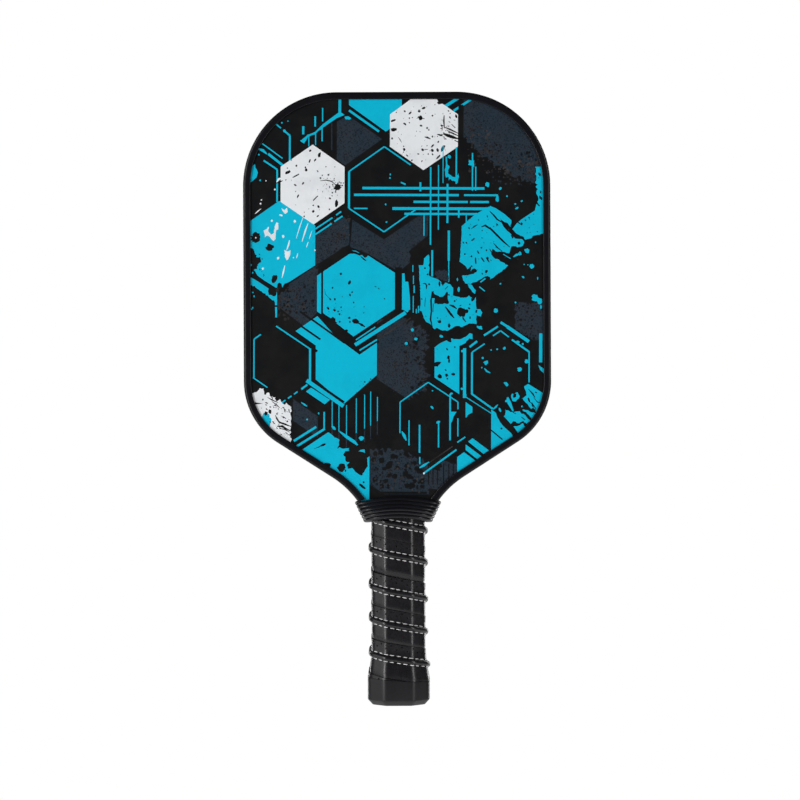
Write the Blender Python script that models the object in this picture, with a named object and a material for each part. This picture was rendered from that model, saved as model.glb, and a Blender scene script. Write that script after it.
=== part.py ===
"""A pickleball paddle: honeycomb core, skins, edge guard and a wrapped octagonal handle.

Handle down, head up. +Z runs from the butt to the crown, -Y is the front face, and the origin is the
middle of the butt cap's flat bottom. Lengths are in millimetres until add_object makes them metres.
"""

import math

import bmesh
import bpy
from mathutils import Matrix, Vector

MM = 0.001
CLEARANCE = 0.3  # between neighbouring pieces

# Outline of the head, seen from the front. Angles are from the vertical.
LENGTH = 406.4
HEAD_HALF_WIDTH = 102.0
CROWN_RADIUS = 62.3
SHOULDER_RADIUS = 48.1
SHOULDER_Z = 214.55  # where the straight side ends
SHOULDER_ANGLE = math.radians(57.4)
THROAT_RADIUS = 61.7
THROAT_HALF_WIDTH = 43.65  # where the shoulder turns into the throat
THROAT_ANGLE = math.radians(38.0)  # the slope where the panel leaves the throat's curve
GUARD_END_ANGLE = math.radians(33.0)
TONGUE_ANGLE = math.radians(50.0)  # the slope down to the tongue, under the collar
TONGUE_FILLET = 6.0
TONGUE_HALF_WIDTH = 13.5
TONGUE_BOTTOM = 3.5

# Layers of the panel, from the middle out
CORE_HALF = 5.5
FILM_THICKNESS = 0.2
SHEET_THICKNESS = 0.7
SHEET_NEAR = CORE_HALF + CLEARANCE + FILM_THICKNESS + CLEARANCE
PANEL_HALF = SHEET_NEAR + SHEET_THICKNESS
CELL_PITCH = 15.0
CELL_WALL = 1.2
CORE_RIM = 2.5

# Edge guard
GUARD_WALL = 1.6
GUARD_LIP = 5.0
GUARD_LIP_THICKNESS = 1.1
GUARD_ROUNDING = 1.6
GUARD_EDGE = 0.4
GUARD_END_X = 28.0
GUARD_END_GAP = 0.8  # above the collar
PANEL_INSET = GUARD_WALL + CLEARANCE

# Handle, an octagon: half sizes over the flats and half widths of the flats
HANDLE_HALF_WIDTH = 15.8
HANDLE_HALF_DEPTH = 12.2
FRONT_FLAT = 8.0
SIDE_FLAT = 6.0
PALLET_BOTTOM = 3.2
PALLET_SIDE_TOP = 122.5  # the side flanges stop where the tongue widens
PALLET_SCARF = 124.5  # above this the pallets thin out
PALLET_TOP = 132.5
PALLET_TIP = 0.6

# Grip strip, wound down the front from left to right
WRAP_INNER = CLEARANCE
WRAP_OUTER = 2.0
WRAP_BOTTOM = 16.9
WRAP_TOP = 126.5
WRAP_PITCH = 23.06
WRAP_TURNS = 7  # from above the collar to below the butt cap, before the trims
WRAP_ROWS = 5
STEPS_PER_TURN = 10  # the eight corners and the two sides' middles
WRAP_FRONT_FALL = 10.2
WRAP_ABOVE_RIB = 9.85
WRAP_BELOW_RIB = 12.86
RIB_TOP_Z = 150.12  # height of the highest rib turn where it passes the left side
RIB_INNER = 2.3
RIB_OUTER = 4.0
RIB_HALF_WIDTH = 1.5
RIB_TRIM = 119.8
STITCH_OFFSET = 2.2
STITCH_INNER = 2.25
THREAD_THICKNESS = 0.7
TAPE_THICKNESS = 0.25
TAPE_BOTTOM = 121.6
TAPE_WIDTH = 3.4
SWELL_TOP = 36.0  # the grip swells below this
SWELL_SPAN = 18.5
SWELL_SIZE = 2.7
SWELL_POWER = 1.3

# Butt cap
CAP_OUTER = 4.7
CAP_TOP = 16.5
CAP_CHAMFER = 2.7
CAP_FLOOR = 2.8
SKIRT_TOP = 27.0
STAPLE_Z = 22.0
STAPLE_HALF_WIDTH = 4.2
STAPLE_WIRE = 0.6
STAPLE_TIP = 8.6
HOLE_REACH = 6.0  # how far a staple's hole is cut past the handle's flat

# Collar: half width and half depth of its inside at the bottom and at the top
COLLAR_BOTTOM = 120.7
COLLAR_TOP = 134.3
COLLAR_RISE = 3.7  # how far the rings arch up at the front and back
COLLAR_INSIDE = ((19.3, 15.8), (25.0, 8.8))
COLLAR_STRAIGHT = 0.45  # share of its height before its depth starts to shrink
COLLAR_WALL = 3.0
COLLAR_RIDGES = 6
COLLAR_RIDGE_DEPTH = 0.8
COLLAR_POWERS = (2.8, 6.0)  # how square the ring is at the bottom and at the top
COLLAR_STEPS = 40


def clear_scene():
    """Removes the objects that Blender starts with."""
    for obj in list(bpy.data.objects):
        bpy.data.objects.remove(obj, do_unlink=True)


def material(name, colour, roughness, metallic=0.0):
    """A Principled material of one colour."""
    made = bpy.data.materials.new(name)
    made.use_nodes = True
    shader = made.node_tree.nodes["Principled BSDF"]
    shader.inputs["Base Color"].default_value = (*colour, 1.0)
    shader.inputs["Roughness"].default_value = roughness
    shader.inputs["Metallic"].default_value = metallic
    return made


def add_object(name, bm, finish, smooth_angle=None):
    """Turns a bmesh in millimetres into an object in metres."""
    bmesh.ops.scale(bm, vec=(MM, MM, MM), verts=bm.verts)
    bmesh.ops.recalc_face_normals(bm, faces=bm.faces)
    mesh = bpy.data.meshes.new(name)
    bm.to_mesh(mesh)
    bm.free()
    mesh.materials.append(finish)
    if smooth_angle is not None:
        mesh.shade_smooth()
        mesh.set_sharp_from_angle(angle=math.radians(smooth_angle))
    obj = bpy.data.objects.new(name, mesh)
    bpy.context.scene.collection.objects.link(obj)
    return obj


def cut(target, cutter_bm, name):
    """Takes a shape away from an object with a Boolean."""
    cutter = add_object(name, cutter_bm, target.data.materials[0])
    cutter.hide_render = True
    cutter.display_type = "WIRE"
    modifier = target.modifiers.new(name, "BOOLEAN")
    modifier.operation = "DIFFERENCE"
    modifier.object = cutter


def arc(centre, radius, start, end, steps):
    """Points of an arc in the XZ plane, its angles going from +X towards +Z."""
    angles = [start + (end - start) * i / steps for i in range(steps + 1)]
    return [(centre[0] + radius * math.cos(a), centre[1] + radius * math.sin(a)) for a in angles]


def head_side(inset, exit_angle):
    """Right half of the head's outline moved inwards by inset, from the crown down to the throat."""
    crown = (HEAD_HALF_WIDTH - CROWN_RADIUS, LENGTH - CROWN_RADIUS)
    shoulder = (HEAD_HALF_WIDTH - SHOULDER_RADIUS, SHOULDER_Z)
    sine, cosine = math.sin(SHOULDER_ANGLE), math.cos(SHOULDER_ANGLE)
    slope_length = (shoulder[0] + SHOULDER_RADIUS * cosine - THROAT_HALF_WIDTH) / sine
    throat_z = shoulder[1] - SHOULDER_RADIUS * sine - slope_length * cosine
    throat = (THROAT_HALF_WIDTH + THROAT_RADIUS * cosine, throat_z - THROAT_RADIUS * sine)
    points = arc(crown, CROWN_RADIUS - inset, math.pi / 2, 0.0, 14)
    points += arc(shoulder, SHOULDER_RADIUS - inset, 0.0, -SHOULDER_ANGLE, 10)
    throat_start, throat_end = math.pi - SHOULDER_ANGLE, math.pi - exit_angle
    points += arc(throat, THROAT_RADIUS + inset, throat_start, throat_end, 5)
    return points


def panel_side(inset):
    """Right half of a panel layer's outline: the head, then the slope and fillet into the tongue."""
    points = head_side(inset, THROAT_ANGLE)
    trim = inset - PANEL_INSET
    tongue = TONGUE_HALF_WIDTH - trim
    fillet = TONGUE_FILLET + trim
    start_x = tongue + fillet * (1 - math.cos(TONGUE_ANGLE))
    start_z = points[-1][1] - (points[-1][0] - start_x) / math.tan(TONGUE_ANGLE)
    centre = (tongue + fillet, start_z - fillet * math.sin(TONGUE_ANGLE))
    points += arc(centre, fillet, math.pi - TONGUE_ANGLE, math.pi, 4)
    points.append((tongue, TONGUE_BOTTOM + trim))
    return points


def mirrored(side):
    """The closed outline from its right half."""
    return side + [(-x, z) for x, z in reversed(side)]


def prism(outline, low, high):
    """A bmesh of an XZ outline extruded in Y from low to high."""
    bm = bmesh.new()
    face = bm.faces.new([bm.verts.new((x, low, z)) for x, z in outline])
    moved = bmesh.ops.extrude_face_region(bm, geom=[face])["geom"]
    verts = [v for v in moved if isinstance(v, bmesh.types.BMVert)]
    bmesh.ops.translate(bm, verts=verts, vec=(0.0, high - low, 0.0))
    return bm


def lofted(rings, closed=False, capped=True):
    """A bmesh that joins rings of points, in a loop if closed, and otherwise with its ends capped."""
    bm = bmesh.new()
    loops = [[bm.verts.new(point) for point in ring] for ring in rings]
    pairs = list(zip(loops, loops[1:]))
    if closed:
        pairs.append((loops[-1], loops[0]))
    for here, there in pairs:
        for j in range(len(here)):
            k = (j + 1) % len(here)
            bm.faces.new((here[j], here[k], there[k], there[j]))
    if capped and not closed:
        bm.faces.new(list(reversed(loops[0])))
        bm.faces.new(loops[-1])
    return bm


def trim(bm, point, normal):
    """Cuts away what lies beyond a plane, on its normal's side, and closes the cut."""
    geometry = bm.verts[:] + bm.edges[:] + bm.faces[:]
    bmesh.ops.bisect_plane(bm, geom=geometry, plane_co=point, plane_no=normal, clear_outer=True)
    open_edges = [e for e in bm.edges if e.is_boundary]
    bmesh.ops.holes_fill(bm, edges=open_edges, sides=0)


def box(bm, low, high):
    """Adds a box between two corners to a bmesh."""
    low, high = Vector(low), Vector(high)
    made = bmesh.ops.create_cube(bm, size=1.0)["verts"]
    bmesh.ops.scale(bm, vec=high - low, verts=made)
    bmesh.ops.translate(bm, verts=made, vec=(low + high) / 2)


def octagon(grow):
    """Flat and corner sizes of the handle's section moved outwards: half width, half depth, flats."""
    run, rise = HANDLE_HALF_WIDTH - FRONT_FLAT, HANDLE_HALF_DEPTH - SIDE_FLAT
    slant = math.hypot(run, rise)
    flat = FRONT_FLAT + grow * (slant - run) / rise
    side = SIDE_FLAT + grow * (slant - rise) / run
    return HANDLE_HALF_WIDTH + grow, HANDLE_HALF_DEPTH + grow, flat, side


def octagon_ring(grow, z):
    """Corners of the grown section at a height, the right side first, anticlockwise from above."""
    half_x, half_y, flat, side = octagon(grow)
    right = [(half_x, -side), (half_x, side), (flat, half_y)]
    corners = right + [(-flat, half_y), (-half_x, side), (-half_x, -side)]
    corners += [(-flat, -half_y), (flat, -half_y)]
    return [(x, y, z) for x, y in corners]


def swell(z):
    """How far the grip stands out over the straight handle near the butt."""
    return SWELL_SIZE * max(0.0, (SWELL_TOP - z) / SWELL_SPAN) ** SWELL_POWER


def winding_point(step, grow):
    """Place of a winding at a step round the handle, from the left side across the front."""
    half_x, half_y, flat, side = octagon(grow)
    front = [(-half_x, 0.0), (-half_x, -side), (-flat, -half_y), (flat, -half_y), (half_x, -side)]
    return (front + [(-x, -y) for x, y in front])[step % STEPS_PER_TURN]


def winding_fall(step):
    """How far a winding has come down at a step, from the lengths of the flats it has crossed."""
    _, half_y, flat, side = octagon(WRAP_OUTER)
    slant = math.hypot(HANDLE_HALF_WIDTH + WRAP_OUTER - flat, half_y - side)
    marks = [0.0, side, side + slant, side + slant + 2 * flat, side + 2 * slant + 2 * flat]
    half_turn = 2 * (side + slant + flat)
    turn, place = divmod(step, STEPS_PER_TURN)
    half = STEPS_PER_TURN // 2
    if place < half:
        part = WRAP_FRONT_FALL * marks[place] / half_turn
    else:
        back_fall = WRAP_PITCH - WRAP_FRONT_FALL
        part = WRAP_FRONT_FALL + back_fall * marks[place - half] / half_turn
    return turn * WRAP_PITCH + part


def wound(section, top, bottom):
    """A bmesh of a section wound round the handle and trimmed level at the top and the bottom.

    The section is a list of (distance out from the bare handle, height over the rib's middle).
    """
    rings = []
    for step in range(STEPS_PER_TURN * WRAP_TURNS + 1):
        middle = RIB_TOP_Z - winding_fall(step)
        ring = []
        for out, height in section:
            z = middle + height
            x, y = winding_point(step, out + swell(max(z, WRAP_BOTTOM)))
            ring.append((x, y, z))
        rings.append(ring)
    bm = lofted(rings)
    trim(bm, (0.0, 0.0, top), (0.0, 0.0, 1.0))
    trim(bm, (0.0, 0.0, bottom), (0.0, 0.0, -1.0))
    return bm


def width_at(side, level):
    """Half width of a half outline at a level, and 0 beyond its ends."""
    for (x0, z0), (x1, z1) in zip(side, side[1:]):
        if z1 <= level <= z0:
            return x0 if z0 == z1 else x0 + (x1 - x0) * (z0 - level) / (z0 - z1)
    return 0.0


def core():
    """The cellular core. Its cells run through from face to face, so none is sealed."""
    bm = prism(mirrored(panel_side(PANEL_INSET)), -CORE_HALF, CORE_HALF)
    made = add_object("honeycomb_core", bm, material("core_polymer", (0.80, 0.81, 0.78), 0.6))
    radius = (CELL_PITCH - CELL_WALL) / math.sqrt(3)
    rim = panel_side(PANEL_INSET + CORE_RIM)
    row_height = CELL_PITCH * math.sqrt(3) / 2
    reach = int(HEAD_HALF_WIDTH / CELL_PITCH)
    to_depth = Matrix.Rotation(math.pi / 2, 3, "X")
    cells = bmesh.new()
    for row in range(int(LENGTH / row_height)):
        z = rim[0][1] - radius - row * row_height
        room = min(width_at(rim, z - radius), width_at(rim, z), width_at(rim, z + radius - 0.01))
        for column in range(-reach, reach + 1):
            x = (column + 0.5 * (row % 2)) * CELL_PITCH
            if abs(x) + CELL_PITCH / 2 > room:
                continue
            sizes = {"radius1": radius, "radius2": radius, "depth": 4 * CORE_HALF, "segments": 6}
            prism_verts = bmesh.ops.create_cone(cells, cap_ends=True, **sizes)["verts"]
            bmesh.ops.rotate(cells, verts=prism_verts, matrix=to_depth)
            bmesh.ops.translate(cells, verts=prism_verts, vec=(x, 0.0, z))
    cut(made, cells, "core_cells")


def panel_layers():
    """Adhesive film and face sheet on both sides of the core."""
    film = material("bond_film", (0.55, 0.50, 0.35), 0.5)
    sheet = material("face_composite", (0.02, 0.36, 0.50), 0.35)
    outline = mirrored(panel_side(PANEL_INSET))
    film_near = CORE_HALF + CLEARANCE
    film_far = film_near + FILM_THICKNESS
    add_object("front_bond_film", prism(outline, -film_far, -film_near), film)
    add_object("back_bond_film", prism(outline, film_near, film_far), film)
    add_object("front_face_sheet", prism(outline, -PANEL_HALF, -SHEET_NEAR), sheet)
    add_object("back_face_sheet", prism(outline, SHEET_NEAR, PANEL_HALF), sheet)


def edge_guard():
    """A strip of U section round the head. One half is swept and cut off above the collar."""
    inner = PANEL_HALF + CLEARANCE
    outer = inner + GUARD_LIP_THICKNESS
    back_half = [
        (GUARD_WALL, inner),
        (GUARD_LIP, inner),
        (GUARD_LIP, outer - GUARD_EDGE),
        (GUARD_LIP - GUARD_EDGE, outer),
        (GUARD_ROUNDING, outer),
        (GUARD_EDGE, outer - GUARD_EDGE),
        (0.0, outer - GUARD_ROUNDING),
    ]
    section = back_half + [(inset, -y) for inset, y in reversed(back_half)]
    sides = {inset: head_side(inset, GUARD_END_ANGLE) for inset, _ in section}
    rings = [[(0.0, y, LENGTH - inset) for inset, y in section]]
    for i in range(len(sides[0.0])):
        rings.append([(sides[inset][i][0], y, sides[inset][i][1]) for inset, y in section])
    bm = lofted(rings, capped=False)
    end = (GUARD_END_X, 0.0, COLLAR_TOP + GUARD_END_GAP)
    slope = 2 * COLLAR_RISE / GUARD_END_X
    geometry = bm.verts[:] + bm.edges[:] + bm.faces[:]
    away = (-slope, 0.0, -1.0)
    bmesh.ops.bisect_plane(bm, geom=geometry, plane_co=end, plane_no=away, clear_outer=True)
    low_rim = [e for e in bm.edges if e.is_boundary and e.verts[0].co.z < LENGTH / 2]
    bmesh.ops.holes_fill(bm, edges=low_rim, sides=0)
    whole = bm.verts[:] + bm.edges[:] + bm.faces[:]
    bmesh.ops.mirror(bm, geom=whole, axis="X", merge_dist=0.001)
    add_object("edge_guard", bm, material("guard_plastic", (0.012, 0.011, 0.014), 0.35), 35)


def pallets():
    """Two half shells round the tongue, each with a front plate that thins out at the top."""
    foam = material("pallet_foam", (0.22, 0.22, 0.20), 0.7)
    half_x, half_y, flat, side = octagon(0.0)
    slot_x = TONGUE_HALF_WIDTH + CLEARANCE
    slot_y = PANEL_HALF + CLEARANCE
    parting = CLEARANCE / 2
    plate_x = flat + (half_x - flat) * (half_y - slot_y) / (half_y - side)
    for name, sign in (("front", -1.0), ("back", 1.0)):
        bm = bmesh.new()
        right = [(slot_x, slot_y), (plate_x, slot_y), (half_x, side), (half_x, parting)]
        right.append((slot_x, parting))
        flanges = [
            [bm.verts.new((mirror * x, sign * y, PALLET_BOTTOM)) for x, y in right]
            for mirror in (1.0, -1.0)
        ]
        nose = [bm.verts.new((x, sign * half_y, PALLET_BOTTOM)) for x in (flat, -flat)]
        (right_slot, right_plate), (left_slot, left_plate) = (f[:2] for f in flanges)
        plate = [right_slot, right_plate, nose[0], nose[1], left_plate, left_slot]
        faces = [bm.faces.new(plate)] + [bm.faces.new(f) for f in flanges]
        extrude_up(bm, faces, PALLET_SIDE_TOP)
        plate_top = max(bm.faces, key=lambda f: (round(f.calc_center_median().z, 2), len(f.verts)))
        top = extrude_up(bm, [plate_top], PALLET_SCARF)
        tip = extrude_up(bm, [f for f in top if len(f.verts) == 6], PALLET_TOP)
        for vert in {v for f in tip for v in f.verts}:
            vert.co.y = sign * min(abs(vert.co.y), slot_y + PALLET_TIP)
        made = add_object("handle_pallet_" + name, bm, foam)
        cut(made, staple_holes(sign), "staple_holes_" + name)


def extrude_up(bm, faces, z):
    """Extrudes faces to a level, and gives the new faces back. Only a free end keeps its old faces."""
    within = any(len(e.link_faces) > 1 and set(e.link_faces) - set(faces) for f in faces for e in f.edges)
    moved = bmesh.ops.extrude_face_region(bm, geom=faces)["geom"]
    if within:
        bmesh.ops.delete(bm, geom=faces, context="FACES_ONLY")
    for vert in [v for v in moved if isinstance(v, bmesh.types.BMVert)]:
        vert.co.z = z
    return [f for f in moved if isinstance(f, bmesh.types.BMFace)]


def staple_reach():
    """Distance from the middle plane to the outside of the staple's crown."""
    return HANDLE_HALF_DEPTH + swell(STAPLE_Z) - STAPLE_WIRE / 3


def staple_holes(sign):
    """Two slots for the staple's legs, through the skirt and into a pallet."""
    bm = bmesh.new()
    half = STAPLE_WIRE / 2 + CLEARANCE
    for x in (-STAPLE_HALF_WIDTH, STAPLE_HALF_WIDTH):
        near, far = sorted((sign * (STAPLE_TIP - CLEARANCE), sign * (HANDLE_HALF_DEPTH + HOLE_REACH)))
        box(bm, (x - half, near, STAPLE_Z - half), (x + half, far, STAPLE_Z + half))
    return bm


def butt_cap():
    """An octagonal cup with a thin skirt up under the grip, held by a staple front and back."""
    levels = [(0.0, CAP_OUTER - CAP_CHAMFER), (CAP_CHAMFER, CAP_OUTER), (CAP_TOP, CAP_OUTER)]
    skirt_levels = [CAP_TOP, (CAP_TOP + STAPLE_Z) / 2, STAPLE_Z, (STAPLE_Z + SKIRT_TOP) / 2]
    levels += [(z, swell(max(z, WRAP_BOTTOM))) for z in skirt_levels + [SKIRT_TOP]]
    levels += [(SKIRT_TOP, CLEARANCE), (CAP_FLOOR, CLEARANCE)]
    bm = lofted([octagon_ring(grow, z) for z, grow in levels])
    made = add_object("butt_cap", bm, material("cap_plastic", (0.016, 0.016, 0.017), 0.4))
    wire = material("staple_steel", (0.55, 0.55, 0.56), 0.3, 1.0)
    crown = staple_reach()
    for name, sign in (("front", -1.0), ("back", 1.0)):
        cut(made, staple_holes(sign), "skirt_holes_" + name)
        recess = bmesh.new()
        half_width = STAPLE_HALF_WIDTH + STAPLE_WIRE
        half_height = STAPLE_WIRE / 2 + CLEARANCE
        near, far = sorted((sign * (crown - STAPLE_WIRE - 0.1), sign * (crown + 2.0)))
        low = (-half_width - CLEARANCE, near, STAPLE_Z - half_height)
        high = (half_width + CLEARANCE, far, STAPLE_Z + half_height)
        box(recess, low, high)
        cut(made, recess, "crown_recess_" + name)
        outer_x = STAPLE_HALF_WIDTH + STAPLE_WIRE / 2
        inner_x = STAPLE_HALF_WIDTH - STAPLE_WIRE / 2
        bridge = crown - STAPLE_WIRE
        right = [(inner_x, bridge), (inner_x, STAPLE_TIP), (outer_x, STAPLE_TIP), (outer_x, crown)]
        shape = right + [(-x, y) for x, y in reversed(right)]
        heights = (STAPLE_Z - STAPLE_WIRE / 2, STAPLE_Z + STAPLE_WIRE / 2)
        staple = lofted([[(x, sign * y, z) for x, y in shape] for z in heights])
        add_object("butt_cap_staple_" + name, staple, wire)


def grip():
    """The wound strip, the cord that raises its rib, the two seam threads and the tape band."""
    leather = material("grip_leather", (0.013, 0.012, 0.014), 0.42)
    thread = material("seam_thread", (0.72, 0.71, 0.72), 0.8)
    width = WRAP_ABOVE_RIB + WRAP_BELOW_RIB
    rows = [width * i / WRAP_ROWS - WRAP_BELOW_RIB for i in range(WRAP_ROWS + 1)]
    strip = [(WRAP_OUTER, z) for z in rows] + [(WRAP_INNER, z) for z in reversed(rows)]
    add_object("grip_wrap", wound(strip, WRAP_TOP, WRAP_BOTTOM), leather)
    edge = RIB_HALF_WIDTH
    crown = (RIB_INNER + RIB_OUTER) / 2
    bead = [(RIB_INNER, -edge), (crown, -edge), (RIB_OUTER, -edge / 2)]
    bead += [(out, -height) for out, height in reversed(bead)]
    add_object("grip_rib_cord", wound(bead, RIB_TRIM, WRAP_BOTTOM), leather)
    half = THREAD_THICKNESS / 2
    for name, middle in (("upper", STITCH_OFFSET), ("lower", -STITCH_OFFSET)):
        out = STITCH_INNER + half
        diamond = [(out - half, middle), (out, middle - half), (out + half, middle)]
        diamond.append((out, middle + half))
        add_object("grip_stitch_" + name, wound(diamond, RIB_TRIM, WRAP_BOTTOM), thread)
    tape_inner = WRAP_OUTER + CLEARANCE
    tape_outer = tape_inner + TAPE_THICKNESS
    levels = [(0.0, tape_outer), (TAPE_WIDTH, tape_outer), (TAPE_WIDTH, tape_inner), (0.0, tape_inner)]
    rings = []
    for height, out in levels:
        ring = octagon_ring(out, TAPE_BOTTOM + height)
        rings.append([(x, y, z + arch(x / (HANDLE_HALF_WIDTH + out))) for x, y, z in ring])
    tape = lofted(rings, closed=True)
    add_object("grip_finishing_tape", tape, material("tape_vinyl", (0.02, 0.02, 0.02), 0.3))


def arch(share):
    """How far the collar's rings stand up at a share of their half width."""
    return COLLAR_RISE * (1.0 - share * share)


def collar():
    """A ridged ring that narrows from the panel's throat to the grip, its rings arching up."""
    profile = [(1.0, 0.0), (COLLAR_STRAIGHT, 0.0), (0.0, 0.0)]
    valley = COLLAR_WALL - COLLAR_RIDGE_DEPTH
    profile.append((0.0, valley))
    step = 1.0 / COLLAR_RIDGES
    for ridge in range(COLLAR_RIDGES):
        low = ridge * step
        profile += [(low + step * 0.3, COLLAR_WALL), (low + step * 0.7, COLLAR_WALL)]
        profile.append((low + step, valley))
    (low_x, low_y), (high_x, high_y) = COLLAR_INSIDE
    rings = []
    for i in range(COLLAR_STEPS):
        angle = 2 * math.pi * i / COLLAR_STEPS
        cosine, sine = math.cos(angle), math.sin(angle)
        ring = []
        for level, wall in profile:
            power = COLLAR_POWERS[0] + (COLLAR_POWERS[1] - COLLAR_POWERS[0]) * level
            share_x = math.copysign(abs(cosine) ** (2 / power), cosine)
            share_y = math.copysign(abs(sine) ** (2 / power), sine)
            x = share_x * (low_x + (high_x - low_x) * level + wall)
            shrink = max(0.0, (level - COLLAR_STRAIGHT) / (1 - COLLAR_STRAIGHT))
            y = share_y * (low_y + (high_y - low_y) * shrink + wall)
            z = COLLAR_BOTTOM + (COLLAR_TOP - COLLAR_BOTTOM) * level + arch(share_x)
            ring.append((x, y, z))
        rings.append(ring)
    bm = lofted(rings, closed=True)
    add_object("grip_collar", bm, material("collar_rubber", (0.010, 0.009, 0.012), 0.3), 50)


def main():
    clear_scene()
    core()
    panel_layers()
    edge_guard()
    pallets()
    butt_cap()
    grip()
    collar()


main()
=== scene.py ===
"""Looks of the pickleball paddle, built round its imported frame.

Lengths are in millimetres inside the classes. Model.add turns a finished bmesh into an object in metres.
"""

import logging
import math
import random
from collections.abc import Callable, Iterable, Sequence
from dataclasses import dataclass, field
from enum import Enum

import bmesh
import bpy
from mathutils import Matrix, Vector
from mathutils.geometry import delaunay_2d_cdt


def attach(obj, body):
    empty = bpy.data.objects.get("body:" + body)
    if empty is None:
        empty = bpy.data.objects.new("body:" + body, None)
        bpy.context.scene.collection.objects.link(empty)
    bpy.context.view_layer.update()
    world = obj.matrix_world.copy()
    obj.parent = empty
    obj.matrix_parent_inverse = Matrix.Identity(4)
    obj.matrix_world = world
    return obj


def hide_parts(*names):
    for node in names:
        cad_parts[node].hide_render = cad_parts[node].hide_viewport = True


LOG = logging.getLogger("paddle")
MM = 0.001
BODY = "root"
Point = tuple[float, float]
Colour = tuple[float, float, float, float]

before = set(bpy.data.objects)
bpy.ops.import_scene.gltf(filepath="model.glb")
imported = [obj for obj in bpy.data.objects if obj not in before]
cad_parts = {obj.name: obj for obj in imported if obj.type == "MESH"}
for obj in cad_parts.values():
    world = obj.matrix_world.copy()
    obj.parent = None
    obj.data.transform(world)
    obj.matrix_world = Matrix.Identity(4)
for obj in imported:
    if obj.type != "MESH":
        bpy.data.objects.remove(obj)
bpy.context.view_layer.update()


def tint(red: int, green: int, blue: int) -> Colour:
    """Linear colour of a display colour.

    Args:
        red: Display red, 0 to 255.
        green: Display green, 0 to 255.
        blue: Display blue, 0 to 255.

    Returns:
        The linear colour with an alpha of 1.
    """
    linear = []
    for part in (red, green, blue):
        share = part / 255
        linear.append(share / 12.92 if share <= 0.04045 else ((share + 0.055) / 1.055) ** 2.4)
    return (linear[0], linear[1], linear[2], 1.0)


class Value:
    """A number socket whose Python operators add Math nodes."""

    def __init__(self, graph: "Graph", socket: bpy.types.NodeSocket) -> None:
        """Wraps a socket.

        Args:
            graph: The graph that the socket belongs to.
            socket: The output that gives the number.
        """
        self.graph = graph
        self.socket = socket

    def math(self, operation: str, *others: "Value | float", clamp: bool = False) -> "Value":
        """Adds one Math node on this value.

        Args:
            operation: The node's operation.
            others: Its further inputs.
            clamp: Whether the result is held between 0 and 1.

        Returns:
            The node's result.
        """
        inputs = dict(enumerate((self, *others)))
        settings = {"operation": operation, "use_clamp": clamp}
        return self.graph.value("ShaderNodeMath", settings, inputs)

    def __add__(self, other: "Value | float") -> "Value":
        """Sum of both."""
        return self.math("ADD", other)

    def __mul__(self, other: "Value | float") -> "Value":
        """Product of both."""
        return self.math("MULTIPLY", other)

    def above(self, edge: float, soft: float) -> "Value":
        """Share from 0 to 1 as this rises through an edge.

        Args:
            edge: Where the share is a half.
            soft: Width over which it rises.

        Returns:
            The share.
        """
        return (self * (1 / soft)).math("ADD", 0.5 - edge / soft, clamp=True)


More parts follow.
